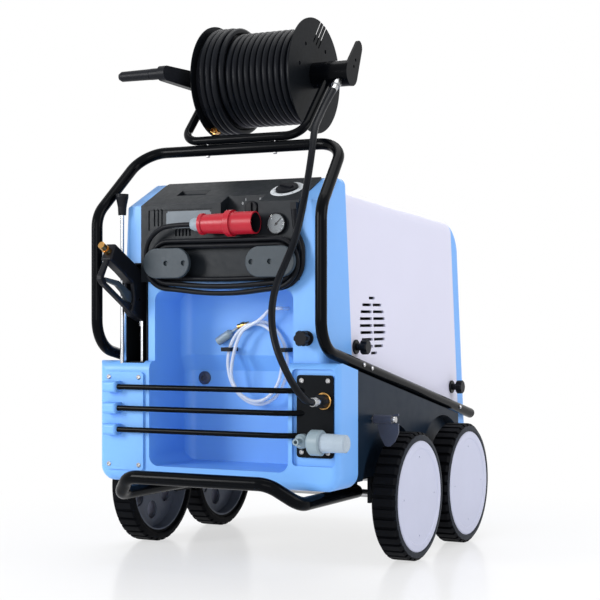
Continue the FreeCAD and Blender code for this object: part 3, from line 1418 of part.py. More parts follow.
def control_panel():
    face = panel_face()
    tools = [
        panel_hollow(),
        panel_well("well_space", NONE),
        panel_pocket("pocket_space", NONE),
        block("label_space", (D.label_left_x, D.label_right_x),
              (face - 5, face + D.label_depth), (D.label_low_z, D.label_top_z)),
        rod("gauge_bore", D.gauge_radius + D.fit_gap, D.gauge_back_depth + 5,
            (D.gauge_x, face - 5, D.gauge_z), (0, 1, 0)),
        rod("switch_bore", D.switch_radius * 0.3, D.side_wall * 3,
            (D.switch_x, D.well_rear_y - D.side_wall, D.switch_z), (0, 1, 0)),
        rod("dial_bore", D.dial_radius * 0.3, D.side_wall * 3, dial_bore_foot(),
            tuple(slope_turn().multVec(AXIS["x"]))),
    ]
    for index in range(int(D.slot_count)):
        x = D.slot_left_x + D.slot_pitch * index
        tools.append(block("slot_%d" % index, (x, x + D.slot_width),
                           (face - 5, face + D.slot_depth), (D.slot_low_z, D.slot_top_z)))
    for index in range(int(D.rib_count)):
        x = D.rib_left_x + D.rib_pitch * index
        tools.append(block("grille_%d" % index, (x, x + D.slot_width),
                           (face - 5, face + D.slot_depth), (D.rib_low_z, D.rib_top_z)))
    node(cut("panel_moulding", panel_prism("panel_outer", NONE, NONE), *tools),
         "control_panel")


def gauge():
    """A round gauge with a raised rim, and its needle on a pin."""
    face = panel_face()
    back = -D.gauge_back_depth + D.fit_gap
    radius = D.gauge_radius
    reach = D.gauge_reach
    floor = reach - 6
    hole = D.gauge_wall * 0.4
    corners = [(back, NONE), (back, radius - 2), (NONE, radius), (reach - 1, radius),
               (reach, radius - 1), (reach, radius - D.gauge_wall),
               (floor, radius - D.gauge_wall), (floor, hole + D.running_gap),
               (floor - 3, hole + D.running_gap), (floor - 3, NONE)]
    node(lathe("gauge_case", corners, D.gauge_x, face, D.gauge_z, FORWARD),
         "pressure_gauge")
    low = floor + D.fit_gap
    pin = [(floor - 3 + D.fit_gap, NONE), (floor - 3 + D.fit_gap, hole), (low, hole),
           (low, hole * 3), (low + 2, hole * 3), (low + 2, NONE)]
    hub = lathe("needle_hub", pin, NONE, NONE, NONE)
    half = D.needle_width / 2
    blade = block("needle_blade", (low + 0.4, low + 1.6), (-half, half),
                  (-D.needle_length * 0.35, D.needle_length))
    turn = FORWARD.multiply(Rotation(AXIS["x"], float(D.needle_rest)))
    node(placed(fuse("needle_fused", hub, blade), D.gauge_x, face, D.gauge_z, turn),
         "gauge_needle")


def placed(feature, x, y, z, turn):
    """A feature made about its own origin, then set in its place."""
    feature.Placement = Placement(Vector(x, y, z), turn)
    for letter, value in zip("xyz", (x, y, z)):
        bind(feature, ".Placement.Base." + letter, value)
    return feature


def round_knob(name, radius, height, x, y, z, turn):
    """A low turned knob with a grip bar across its face and its spindle behind."""
    low = D.fit_gap
    spindle = radius * 0.3 - D.running_gap
    corners = [(-D.side_wall, NONE), (-D.side_wall, spindle), (low, spindle),
               (low, radius), (height * 0.5, radius), (height * 0.6, radius - 2),
               (height * 0.6, NONE)]
    body = lathe(name + "_disc", corners, NONE, NONE, NONE)
    half = radius * 0.78
    bar = block(name + "_bar", (height * 0.5, height), (-radius * 0.17, radius * 0.17),
                (-half, half))
    return node(placed(fuse(name + "_fused", body, bar), x, y, z, turn), name)


def panel_knobs():
    round_knob("main_switch", D.switch_radius, D.switch_height, D.switch_x,
               D.well_rear_y, D.switch_z, FORWARD)
    round_knob("thermostat_dial", D.dial_radius, D.dial_height, D.dial_x, D.dial_y,
               brow_z(D.dial_y), slope_turn())


# Cable hooks, cable and plug
def stadium(name, x, y, z, half, radius):
    """A flat form with round ends, as tall as its two radii."""
    left = rod(name + "_left", radius, y[1] - y[0], (x - half + radius, y[0], z), (0, 1, 0))
    right = rod(name + "_right", radius, y[1] - y[0], (x + half - radius, y[0], z),
                (0, 1, 0))
    middle_part = block(name + "_middle", (x - half + radius, x + half - radius), y,
                        (z - radius, z + radius))
    return fuse(name, left, middle_part, right)


def cable_hooks():
    """Two flat plates on round posts that hold the cable's loops."""
    back = panel_face() - D.fit_gap
    seat_y = back - D.hook_post_length + D.fit_gap
    front = seat_y - D.hook_plate_wall
    hooks = []
    for word, x, inward in (("left", D.hook_left_x, 1), ("right", D.hook_right_x, -1)):
        post = stadium(word + "_post", x, (seat_y - 1, back), D.hook_z, D.hook_post_half,
                       D.hook_post_radius)
        plate = stadium(word + "_plate", x, (front, seat_y), D.hook_z, D.hook_plate_half,
                        D.hook_plate_radius)
        rim = rounded(word + "_rim", plate, Size(2.5, "2.5"),
                      lambda edge: middle(edge).y < front + 0.1)
        holes = [rod("%s_hole_%d" % (word, i), D.hook_hole_radius, D.hook_hole_depth + 5,
                     (x + D.hook_hole_pitch * inward * i, front - 5, D.hook_z), (0, 1, 0))
                 for i in range(2)]
        hooks.append(cut(word + "_hook", fuse(word + "_fused", post, rim), *holes))
    node(group("hook_pair", *hooks), "cable_hooks")


def coil_offset(turn):
    """How far a loop lies outside the innermost one, after so many turns."""
    pitch = float(D.coil_pitch)
    return abs(float(D.coil_turns) / 2 - turn) * pitch


def coil_stations():
    """The cable from its gland, spiralling in, climbing a layer and spiralling out."""
    radius = float(D.cable_radius)
    total = float(D.coil_turns)
    back_y = float(panel_face() - D.coil_seat - D.cable_radius)
    front_y = back_y - float(D.coil_layer)
    reach = float(D.hook_post_radius + D.coil_seat + D.cable_radius)
    bend = float(D.hook_post_half - D.hook_post_radius)
    left = float(D.hook_left_x) - bend
    right = float(D.hook_right_x) + bend
    mid = (left + right) / 2
    z = float(D.hook_z)
    gland = Vector(D.gland_x, back_y, D.gland_z - D.gland_length)
    stations = [(gland, Vector(0, 0, -1)),
                (gland - Vector(0, 0, 2 * radius), Vector(0, 0, -1))]
    for quarter in range(int(total * 4) + 1):
        turn = quarter / 4
        shift = coil_offset(turn)
        wide = reach + shift
        climb = min(max((turn - total / 2) * 2 + 0.5, 0.0), 1.0)
        y = back_y + (front_y - back_y) * climb
        sag = float(D.coil_sag) + float(D.coil_sag_growth) * shift / float(D.coil_pitch)
        slope = 4 * sag / (right - left)
        low = z - wide
        across = (front_y - back_y) * 0.5 / (right - left)
        lean = across if 0 < climb < 1 else 0
        stage = quarter % 4
        if stage == 0:
            if quarter == 0:
                rise = float(D.lead_rise)
                stations.append((Vector(right + wide, y, z + rise), Vector(0, 0, -1)))
            stations.append((Vector(right + wide, y, z), Vector(0, 0, -1)))
        elif stage == 1:
            part = y - (front_y - back_y) * (0.22 if lean else 0)
            after = y + (front_y - back_y) * (0.22 if lean else 0)
            stations.append((Vector(right, part, low),
                             Vector(-1, lean, -slope).normalize()))
            stations.append((Vector(mid, y, low - sag), Vector(-1, lean, 0).normalize()))
            stations.append((Vector(left, after, low),
                             Vector(-1, lean, slope).normalize()))
        elif stage == 2:
            stations.append((Vector(left - wide, y, z), Vector(0, 0, 1)))
        else:
            stations.append((Vector(left, y, z + wide), Vector(1, 0, 0)))
            stations.append((Vector(right, y, z + wide), Vector(1, 0, 0)))
    end, heading = stations[-1]
    stations.append((end + heading * 2 * radius, heading))
    return stations


# The cable's free end, from the coil's left end up to the plug, as (X, Y, Z).
CABLE_TAIL = [(-195, -409.8, 750), (-195, -409.8, 770), (-188.8, -411, 789),
              (-175.3, -414.5, 806.3), (-153.5, -419, 820.8), (-120.5, -423, 831.5),
              (-53, -423, 831.5)]


def cable():
    back_y = panel_face() - D.coil_seat - D.cable_radius
    stations = coil_stations()
    coil = wound_tube("cable_loops", stations, D.cable_radius)
    foot = block("gland_foot", (D.gland_x - D.gland_foot / 2, D.gland_x + D.gland_foot / 2),
                 (back_y - D.cable_radius - 1, panel_face() - D.fit_gap),
                 (D.gland_z, D.gland_z + D.gland_foot))
    cap = cone("gland_cone", D.gland_radius - 2, D.gland_radius, D.gland_length,
               (D.gland_x, back_y, D.gland_z - D.gland_length), (0, 0, 1))
    front = block("gland_bounds", (NONE, D.panel_right_x), (D.lower_front_y * 2,
                                                            panel_face() - D.fit_gap),
                  (NONE, D.upper_top_z))
    node(common("gland_trimmed", fuse("gland_fused", foot, cap), front), "cable_gland")
    node(coil, "cable_coil")
    node(cord_tube("cable_end", CABLE_TAIL, D.cable_radius), "cable_tail")


def plug():
    """An industrial plug: gland, body with a collar, open shroud and five pins."""
    x = -D.plug_gland_length
    body = NONE + D.plug_body_length
    collar = body + D.plug_collar_length
    end = collar + D.plug_shroud_length
    inner = D.plug_shroud_radius - D.plug_shroud_wall
    floor = collar + 4
    corners = [(x, NONE), (x, D.plug_gland_radius - 4), (x + 10, D.plug_gland_radius),
               (D.fit_gap, D.plug_gland_radius), (D.fit_gap, D.plug_body_radius + 1),
               (D.fit_gap + 8, D.plug_body_radius + 1), (D.fit_gap + 10, D.plug_body_radius - 2),
               (body, D.plug_body_radius), (body, D.plug_collar_radius - 2),
               (body + 2, D.plug_collar_radius), (collar - 8, D.plug_collar_radius),
               (collar - 8, D.plug_shroud_radius + 1), (collar, D.plug_shroud_radius),
               (end, D.plug_shroud_radius), (end, inner), (floor, inner), (floor, NONE)]
    shell = lathe("plug_turned", corners, D.plug_x, D.plug_y, D.plug_z)
    holes = []
    pins = []
    for index in range(5):
        angle = math.radians(90 + 72 * index)
        size = D.plug_earth_radius if index == 0 else D.plug_pin_radius
        y = D.plug_y + D.plug_pin_ring * math.cos(angle)
        z = D.plug_z + D.plug_pin_ring * math.sin(angle)
        root = D.plug_x + floor - 10
        holes.append(rod("pin_hole_%d" % index, size + D.running_gap, 20, (root, y, z),
                         (1, 0, 0)))
        pins.append(rod("pin_%d" % index, size, D.plug_pin_length, (root, y, z), (1, 0, 0)))
    node(cut("plug_bored", shell, *holes), "plug_body")
    node(group("pin_set", *pins), "plug_pins")


# Hose reel
def reel_disc(name, x0, x1, radius):
    return rod(name, radius, x1 - x0, (x0, D.reel_y, D.reel_z), (1, 0, 0))


def reel_drum():
    """Two sheet flanges, the barrel between them and the shaft through it."""
    sheet = D.flange_sheet
    left = D.flange_left_x
    right = D.flange_right_x
    shaft_left = left - D.reel_bearing_gap - D.reel_bearing_length - D.crank_gap - D.crank_wall
    shaft_right = right + D.reel_hub_gap + D.reel_shaft_depth
    bore = cut("barrel_bore", reel_disc("barrel_outer", left, right, D.barrel_radius),
               reel_disc("barrel_inner", left + sheet, right - sheet,
                         D.barrel_radius - D.side_wall))
    discs = fuse("drum_fused", bore, reel_disc("flange_left", left, left + sheet,
                                               D.flange_radius),
                 reel_disc("flange_right", right - sheet, right, D.flange_radius),
                 reel_disc("reel_shaft", shaft_left, shaft_right, D.reel_shaft_radius))
    slots = []
    for index in range(3):
        slot = block("reel_slot_%d" % index, (right - sheet * 3, right + sheet * 2),
                     (NONE, D.reel_slot_width), (NONE, D.reel_slot_length))
        lean = Rotation(AXIS["x"], -38)
        shift = Vector(0, -62 + 15 * index, 62 + 4 * index)
        slots.append(placed(group("reel_slot_turned_%d" % index, slot), NONE, D.reel_y,
                            D.reel_z, lean))
        slot.Placement.Base = Vector(right - sheet * 3, shift.y, shift.z)
    for index, (y, z) in enumerate(((-52, 74), (-86, 20), (-30, -88), (60, 70), (92, -24))):
        slots.append(rod("reel_hole_%d" % index, D.reel_hole_radius, sheet * 5,
                         (right - sheet * 3, D.reel_y + y, D.reel_z + z), (1, 0, 0)))
    node(cut("drum_slotted", discs, *slots), "reel_drum")
    low = D.hose_ring - D.hose_radius - D.core_gap
    high = low + D.hose_pitch
    inner = D.barrel_radius + D.drum_gap
    near = left + sheet + D.drum_gap
    far = right - sheet - D.drum_gap
    step = first_turn_x() - D.hose_pitch * (D.lower_turns + 0.95)
    corners = [(near, inner), (near, high), (step, high), (step, low), (far, low),
               (far, inner)]
    node(lathe("hose_core_turned", corners, NONE, D.reel_y, D.reel_z), "hose_core")


def first_turn_x():
    return D.flange_right_x - D.flange_sheet - D.hose_radius - D.core_gap


def hose_stations():
    """The outer layer's turns, which step up where the hose lies one layer thicker."""
    ring = float(D.hose_ring)
    pitch = float(D.hose_pitch)
    first_x = float(first_turn_x())
    total = int(D.hose_turns) * 4
    step = int(D.lower_turns) * 4
    axis = Vector(0, D.reel_y, D.reel_z)
    stations = []
    for index in range(total + 1):
        angle = math.radians(90 * (total - index))
        radius = ring + pitch * min(max((index - step) / 2, 0), 1)
        place = axis + Vector(first_x - pitch * index / 4, radius * math.sin(angle),
                              -radius * math.cos(angle))
        heading = Vector(-pitch / (2 * math.pi * radius), -math.cos(angle),
                         -math.sin(angle))
        stations.append((place, heading.normalize()))
    straight = 2 * float(D.hose_radius)
    level = Vector(0, -1, 0)
    start = stations[0][0]
    stations[0] = (start, level)
    stations.insert(0, (start - level * straight, level))
    end = stations[-1][0]
    stations[-1] = (end, level)
    stations.append((end + level * float(D.hose_tail), level))
    return stations


def hose_winding():
    stations = hose_stations()
    node(wound_tube("hose_turns_tube", stations, D.hose_radius), "hose_winding")
    end = stations[-1][0]
    long = D.fitting_length
    radius = D.fitting_radius
    corners = [(NONE, NONE), (NONE, radius - 1.5), (long * 0.2, radius - 1.5),
               (long * 0.2, radius), (long * 0.7, radius), (long * 0.7, radius - 2.5),
               (long, radius - 2.5), (long, radius * 0.55), (long * 0.5, radius * 0.55),
               (long * 0.5, NONE)]
    node(lathe("hose_end_turned", corners, Size(end.x, "(%.9g)" % end.x),
               D.reel_y - D.hose_tail, Size(end.z, "(%.9g)" % end.z), FORWARD), "hose_end")


def reel_frame():
    """Foot tube on the handle bar, two legs, the left bearing and the fixed right hub."""
    foot_z = float(reel_foot_z())
    axis = Vector(0, D.reel_y, D.reel_z)
    left = float(D.reel_leg_left_x)
    right = float(D.reel_leg_right_x)
    points = [axis + Vector(left, 0, 0), Vector(left, D.handle_y, foot_z),
              Vector(right, D.handle_y, foot_z), axis + Vector(right, 0, 0)]
    corner = float(D.reel_tube_corner)
    tube = tube_along(route_wire(points, [corner, corner]), D.reel_tube_radius)
    bearing_x = D.flange_left_x - D.reel_bearing_gap
    hub_x = D.flange_right_x + D.reel_hub_gap
    hub_end = hub_x + D.reel_hub_length
    bearing = Part.makeCylinder(D.reel_bearing_radius, D.reel_bearing_length,
                                axis + Vector(bearing_x - D.reel_bearing_length, 0, 0),
                                AXIS["x"])
    hub = Part.makeCylinder(D.reel_hub_radius, D.reel_hub_length, axis + Vector(hub_x, 0, 0),
                            AXIS["x"])
    base = axis + Vector(hub_end - 0.5, 0, 0)
    tip = base + Vector(0, D.end_plate_reach * 0.62, D.end_plate_reach)
    plate = tapered_plate(base, tip, D.reel_hub_radius + 0.5, D.end_plate_tip,
                          D.end_plate_wall, AXIS["x"])
    span = tip - base
    solid = tube.fuse([bearing, hub, plate])
    gap = D.reel_shaft_radius + D.running_gap
    shaft = Part.makeCylinder(gap, hub_x + D.reel_shaft_depth + D.reel_hub_gap + 2
                              - bearing_x + D.reel_bearing_length * 3,
                              axis + Vector(bearing_x - D.reel_bearing_length * 3, 0, 0),
                              AXIS["x"])
    solid = solid.cut(shaft)
    for share in (0.25, 0.5):
        solid = solid.cut(Part.makeCylinder(D.reel_hole_radius - 1, D.end_plate_wall * 3,
                                            base + span * share - AXIS["x"] * 6, AXIS["x"]))
    for x in (D.handle_bolt_x, D.handle_bolt_x + D.handle_bolt_pitch):
        foot = Vector(x, D.handle_y, foot_z - D.reel_tube_radius * 2)
        solid = solid.cut(Part.makeCylinder(D.tube_bolt_radius + D.running_gap,
                                            D.reel_tube_radius * 4, foot))
    swivel_bore = Part.makeCylinder(D.swivel_radius * 0.6 + D.running_gap,
                                    D.reel_hub_radius + 10, axis + Vector(D.swivel_x, 0, 0),
                                    swivel_heading())
    node(solid_of("reel_frame_solid", solid.cut(swivel_bore)), "reel_frame")


def swivel_heading():
    lean = math.radians(float(D.swivel_lean))
    return Vector(0, -math.sin(lean), -math.cos(lean))


def reel_swivel():
    """The chromed union under the hub that feeds the reel."""
    heading = swivel_heading()
    axis = Vector(D.swivel_x, D.reel_y, D.reel_z)
    hub = float(D.reel_hub_radius)
    length = float(D.swivel_length)
    spigot = Part.makeCylinder(D.swivel_radius * 0.6, 14, axis + heading * (hub - 12), heading)
    barrel = Part.makeCylinder(D.swivel_radius, length - 0.3, axis + heading * (hub + 0.3),
                               heading)
    nut = Part.makeCylinder(D.swivel_radius + 2.5, length * 0.3,
                            axis + heading * (hub + length * 0.25), heading)
    node(solid_of("swivel_solid", spigot.fuse([barrel, nut]).removeSplitter()),
         "reel_swivel")


def crank():
    """The crank arm on the shaft's end, its collar and the spinning grip."""
    right = (D.flange_left_x - D.reel_bearing_gap - D.reel_bearing_length - D.crank_gap)
    left = right - D.crank_wall
    axis = Vector(0, D.reel_y, D.reel_z)
    wall = float(D.crank_wall)
    base = axis + Vector(left, 0, 0)
    far = base + Vector(0, -D.crank_length, 0)
    plate = tapered_plate(base, far, D.crank_root, D.crank_tip, wall, AXIS["x"])
    collar = Part.makeCylinder(D.crank_collar_radius, D.crank_collar,
                               far - AXIS["x"] * float(D.crank_collar), AXIS["x"])
    pin = Part.makeCylinder(D.grip_pin_radius, D.crank_collar + D.grip_length,
                            far - AXIS["x"] * float(D.crank_collar + D.grip_length),
                            AXIS["x"])
    head = Part.makeCylinder(D.grip_pin_radius + 3, 3,
                             far - AXIS["x"] * float(D.crank_collar + D.grip_length + 3),
                             AXIS["x"])
    arm = plate.fuse([collar, pin, head]).removeSplitter()
    shaft = Part.makeCylinder(D.reel_shaft_radius + D.running_gap, wall * 3,
                              base - AXIS["x"] * wall, AXIS["x"])
    node(solid_of("crank_solid", arm.cut(shaft)), "crank_arm")
    bore = D.grip_pin_radius + D.running_gap
    low = D.grip_gap * 0.5
    end = D.grip_length - D.grip_gap * 0.5
    corners = [(low, bore), (low, D.grip_radius - 1.5), (low + 2, D.grip_radius),
               (end - 4, D.grip_radius - 1), (end, D.grip_radius - 3), (end, bore)]
    turn = Rotation(AXIS["z"], 180)
    node(lathe("grip_turned", corners, left - D.crank_collar, D.reel_y - D.crank_length,
               D.reel_z, turn), "crank_grip")


# Hoses on the front
# The supply hose between the reel's union and the outlet: its first run along the union, then
# its other inner points as (X, Y, Z).
SUPPLY_FIRST_RUN = 55
SUPPLY_ROUTE = [(214, -262, 1099), (222, -308, 1063), (235, -345, 1012), (243, -377, 957),
                (245, -402, 900), (243, -421, 845), (239, -441, 790), (228, -465, 738),
                (216, -492, 686), (216, -517, 633), (228, -538, 580), (247, -551, 533),
                (268, -554, 492), (285, -545, 455), (294, -520, 426), (297, -486, 410)]


def supply_hose():
    reach = float(D.reel_hub_radius + D.swivel_length)
    start = Vector(D.swivel_x, D.reel_y, D.reel_z) + swivel_heading() * reach
    first = start + swivel_heading() * SUPPLY_FIRST_RUN
    nut_high = D.outlet_ring + D.fit_gap + D.outlet_nut_length
    end_y = plate_face() - nut_high - D.fit_gap - D.ferrule_length
    route = [tuple(start), tuple(first)] + SUPPLY_ROUTE + [(D.outlet_x, end_y, D.outlet_z)]
    print("supply hose from", [round(v, 1) for v in route[0]], "to",
          [round(float(v), 1) for v in route[-1]])
    node(cord_tube("supply_tube", route, D.supply_radius), "supply_hose")


def wall_y(z):
    """The recess's back wall, which steps forward above its middle."""
    return float(D.recess_rear_y - (D.recess_step if z > float(D.recess_step_z) else 0))


def hose_back_y():
    """Where the clear hose's rear loop lies: the strainer just clears the wall."""
    return float(D.recess_rear_y - D.recess_step - D.strainer_radius - D.fit_gap)


def clear_hose_stations():
    """From the valve, two loops in two layers, then the run to the housing's wall."""
    back = hose_back_y()
    layer = float(D.clear_layer)
    x = float(D.loop_x)
    half = float(D.loop_half)
    inset = float(D.loop_inset)
    side = float(D.loop_side_z)
    right = Vector(1, 0, 0)
    valve = Vector(D.valve_x, back, D.loop_top_z - 6)
    tilt = Vector(1, 0, 0.22).normalize()
    bore = 2 * float(D.clear_hose_radius)
    stations = [(valve, tilt), (valve + tilt * bore, tilt)]
    for loop in range(2):
        here = back - layer * loop
        shrink = inset * loop
        low = float(D.loop_bottom_z) + shrink
        top = float(D.loop_top_z) - shrink * 0.5
        if loop == 0:
            stations.append((Vector(x + 8, here, top + 3), right))
        stations.append((Vector(x + half - shrink, here, side), Vector(0, 0, -1)))
        stations.append((Vector(x, here, low), Vector(-1, 0, 0)))
        stations.append((Vector(x - half + shrink * 2, here - layer, side),
                         Vector(0, 0, 1)))
        stations.append((Vector(x + 4, here - layer, top - 2), right))
    exit_x = float(D.hose_exit_x)
    exit_z = float(D.hose_exit_z)
    deep = back - 2 * layer
    stations[-1] = (Vector(x + 20, deep, (float(D.loop_top_z) + exit_z) / 2 - 12),
                    Vector(1, 0, 0.5).normalize())
    bend = 3.2 * float(D.clear_hose_radius)
    wall = float(D.recess_rear_y - D.recess_step)
    stations.append((Vector(exit_x - bend, deep, exit_z), right))
    stations.append((Vector(exit_x, deep + bend, exit_z), Vector(0, 1, 0)))
    stations.append((Vector(exit_x, wall - float(D.fit_gap), exit_z), Vector(0, 1, 0)))
    return stations


def suction_hose():
    node(wound_tube("clear_hose_tube", clear_hose_stations(), D.clear_hose_radius),
         "suction_hose")


def suction_fittings():
    """The chemical valve and strainer on the clear hose, and the clips that hold it."""
    start, tilt = clear_hose_stations()[0]
    back = tilt * -1
    drop = Vector(-1, 0, -0.62).normalize()
    valve = Part.makeCylinder(D.valve_radius, D.valve_length, start, back)
    ring = Part.makeCylinder(D.valve_radius + 2, D.valve_length * 0.25,
                             start + back * float(D.valve_length * 0.4), back)
    tail = start + back * float(D.valve_length * 0.92)
    stem = Part.makeCylinder(D.clear_hose_radius - 1, D.strainer_reach, tail, drop)
    cup_start = tail + drop * float(D.strainer_reach - 2)
    cup = Part.makeCylinder(D.strainer_radius, D.strainer_length, cup_start, drop)
    head = Part.makeCone(D.strainer_radius * 0.55, D.strainer_radius, 7,
                         cup_start - drop * 7, drop)
    train = valve.fuse([ring, stem, cup, head]).removeSplitter()
    wall = float(D.recess_rear_y - D.recess_step - D.fit_gap)
    clips = []
    radius = float(D.clear_hose_radius + D.fit_gap)
    width = float(D.clip_width)
    skin = float(D.clip_wall)
    layer = float(D.clear_layer)
    back_y = hose_back_y()
    spots = ((float(D.loop_x - D.loop_half) + 4, float(D.loop_side_z), 26, 2.6),
             (float(D.loop_x + D.loop_half) - 4, float(D.loop_side_z), 26, 2.6))
    for x, z, wide, deep in spots:
        z = max(z, float(D.recess_step_z + D.recess_step) + width)
        front = back_y - layer * (deep - 1) - radius - skin
        body = Part.makeBox(wide, wall - front, width, Vector(x - wide / 2, front, z))
        clips.append(body)
    wire = wound_wire(clear_hose_stations())
    space = tube_along(wire, radius)
    clips = [clip.cut(space) for clip in clips]
    node(solid_of("suction_set", Part.makeCompound([train] + clips)), "suction_fittings")


# Spray gun, lance and parking brake
# Outlines in the gun's own plane, as (Y, Z) from the trigger's pivot.
GUN_CASE = [(-106.1, 136.2), (-14, 88), (26, 64), (50, 40), (50, -54), (22, -54), (-10, -43),
            (-32, -28), (-22, 0), (-28, 40), (-68.9, 64.8), (-127.4, 95.4)]
GUN_GUARD = [(-112, 102), (-125.5, 98), (-155.9, 56), (-155.9, 47), (-146, 36), (-48, -19),
             (-10, -43), (-4, -10), (-32, -10), (-60, 0), (-133, 41), (-142, 54), (-117, 95)]
GUN_TRIGGER = [(7, -7), (5, 9), (-14, 16), (-37, 26), (-76.5, 45.6), (-137, 53.5), (-132, 44),
               (-83, 33), (-60, 18), (-40, -4), (-18, -10)]
GUN_TRIGGER_ROOM = [(14, -16), (14, 40), (-45, 40), (-45, -16)]
GUN_INLET = (-116.75, 115.8)
GUN_INLET_HEADING = (0, -0.886, 0.463)


def gun_prism(name, corners, wall):
    """A flat form of the gun, half its wall to each side of the gun's plane."""
    places = [(D.trigger_pivot_y + y, D.trigger_pivot_z + z) for y, z in corners]
    return prism(name, "yz", places, D.gun_x - wall / 2, D.gun_x + wall / 2)


def gun_rim(wall):
    """A test for the edges round the two faces of a flat form of the gun."""
    def test(edge):
        spots = [edge.valueAt(place) for place in edge.ParameterRange]
        return all(abs(abs(spot.x - D.gun_x) - wall / 2) < 0.01 for spot in spots)
    return test


def trigger_pin(name, radius, wall):
    return rod(name, radius, wall, (D.gun_x - wall / 2, D.trigger_pivot_y, D.trigger_pivot_z),
               (1, 0, 0))


def inlet_place(along):
    """A place on the axis of the gun's inlet, so far from the handle's end."""
    y, z = GUN_INLET
    return (D.gun_x, D.trigger_pivot_y + y + along * GUN_INLET_HEADING[1],
            D.trigger_pivot_z + z + along * GUN_INLET_HEADING[2])


def spray_gun():
    """Gun with its handle, trigger guard and trigger, standing in the lance tray."""
    case = rounded("gun_case", gun_prism("gun_case_form", GUN_CASE, D.gun_wall),
                   D.gun_round, gun_rim(D.gun_wall))
    guard = rounded("gun_guard", gun_prism("gun_guard_form", GUN_GUARD, D.guard_wall),
                    D.gun_round / 2, gun_rim(D.guard_wall))
    room = gun_prism("trigger_room", GUN_TRIGGER_ROOM, D.trigger_wall + D.trigger_gap * 2)
    foot_z = D.trigger_pivot_z + GUN_CASE[4][1]
    socket = D.gun_socket
    tools = [
        room,
        trigger_pin("gun_pin_bore", D.trigger_pin_radius + D.running_gap, D.gun_wall + 2),
        rod("gun_outlet_bore", D.gun_lance_radius + D.running_gap, socket + 5,
            (D.gun_x, D.gun_lance_y, foot_z - 5), (0, 0, 1)),
        rod("gun_inlet_bore", D.gun_stem_radius + D.running_gap, socket + 5,
            inlet_place(-socket), GUN_INLET_HEADING),
    ]
    node(cut("gun_case_bored", fuse("gun_fused", case, guard), *tools), "gun_body")

    blade = rounded("trigger_blade", gun_prism("trigger_form", GUN_TRIGGER, D.trigger_wall),
                    D.gun_round / 2, gun_rim(D.trigger_wall))
    node(cut("trigger_bored", blade, trigger_pin("trigger_bore", D.trigger_pin_radius
                                                 + D.running_gap, D.gun_wall)),
         "gun_trigger")

    pin = trigger_pin("trigger_pin", D.trigger_pin_radius, D.gun_wall)
    tray_floor = D.channel_floor_z + D.fit_gap + D.tray_wall
    low = tray_floor + D.fit_gap
    pipe = [(low, NONE), (low, D.gun_lance_radius),
            (foot_z - D.gun_collar_length, D.gun_lance_radius),
            (foot_z - D.gun_collar_length, D.gun_collar_radius),
            (foot_z - D.fit_gap, D.gun_collar_radius), (foot_z - D.fit_gap, D.gun_lance_radius),
            (foot_z + socket - D.fit_gap, D.gun_lance_radius), (foot_z + socket - D.fit_gap, NONE)]
    upright = turn_to((0, 0, 1)).multiply(Rotation(AXIS["y"], -90))
    outlet_pipe = lathe("gun_outlet", pipe, D.gun_x, D.gun_lance_y, NONE, upright)
    end = D.gun_inlet_length
    collar = D.gun_inlet_radius
    nipple = [(-socket + D.fit_gap, NONE), (-socket + D.fit_gap, D.gun_stem_radius),
              (D.fit_gap, D.gun_stem_radius), (D.fit_gap, collar), (end * 0.4, collar),
              (end * 0.4, collar - 2.5), (end * 0.55, collar - 2.5), (end * 0.55, collar - 1),
              (end - 1, collar - 1), (end, collar - 2), (end, NONE)]
    x, y, z = inlet_place(0)
    inlet = lathe("gun_inlet", nipple, x, y, z, Rotation(AXIS["x"], Vector(*GUN_INLET_HEADING)))
    node(group("gun_fitting_set", pin, outlet_pipe, inlet), "gun_fittings")


def lance():
    """A second lance upright in its socket, with a flared nozzle guard on top."""
    x, y = D.nozzle_x, D.nozzle_y
    low = D.lance_low_z + D.fit_gap
    top = D.lance_top_z + D.lance_insert
    tube = cut("lance_tube", rod("lance_outer", D.lance_radius, top - low, (x, y, low), (0, 0, 1)),
               rod("lance_bore", D.lance_bore, top - low, (x, y, low), (0, 0, 1)))
    node(tube, "lance")
    upright = turn_to((0, 0, 1)).multiply(Rotation(AXIS["y"], -90))
    foot = D.lance_top_z
    end = D.nozzle_top_z
    bore = D.lance_radius + D.running_gap
    roof = top + D.fit_gap
    cup = D.nozzle_tip_radius - 2
    corners = [(foot, bore), (foot, D.nozzle_foot_radius), (foot + 20, D.nozzle_foot_radius + 1),
               (end - 8, D.nozzle_tip_radius), (end, D.nozzle_tip_radius), (end, cup),
               (end - 14, D.nozzle_foot_radius - 2), (end - 14, NONE), (roof, NONE),
               (roof, bore)]
    node(lathe("nozzle_turned", corners, x, y, NONE, upright), "lance_nozzle")


# The brake shoe's outline, as (X from its left edge, Z from the pivot).
SHOE = [(0, -14), (24, -3), (34, 10), (56, 15), (56, -32), (46, -54), (34, -65), (27, -66), (20, -63),
        (8, -42)]


def brake():
    """A swinging plate welded to a sleeve on the brake pin, just ahead of the tyre."""
    y, z = brake_place()
    half = D.brake_wall / 2
    corners = [(D.brake_shoe_left_x + a, z + b) for a, b in SHOE]
    plate = prism("shoe_plate", "xz", corners, y - half, y + half)
    left, right = D.brake_sleeve_x, D.brake_sleeve_end_x
    sleeve = rod("brake_sleeve", D.brake_sleeve_radius, right - left, (left, y, z), (1, 0, 0))
    bore = rod("brake_bore", D.brake_pin_radius + D.running_gap, D.track, (left - 5, y, z),
               (1, 0, 0))
    head_room = rod("pin_head_room", D.brake_pin_radius + 4, D.track, (right, y, z), (1, 0, 0))
    node(cut("brake_bored", fuse("brake_fused", plate, sleeve), bore, head_room), "brake_lever")


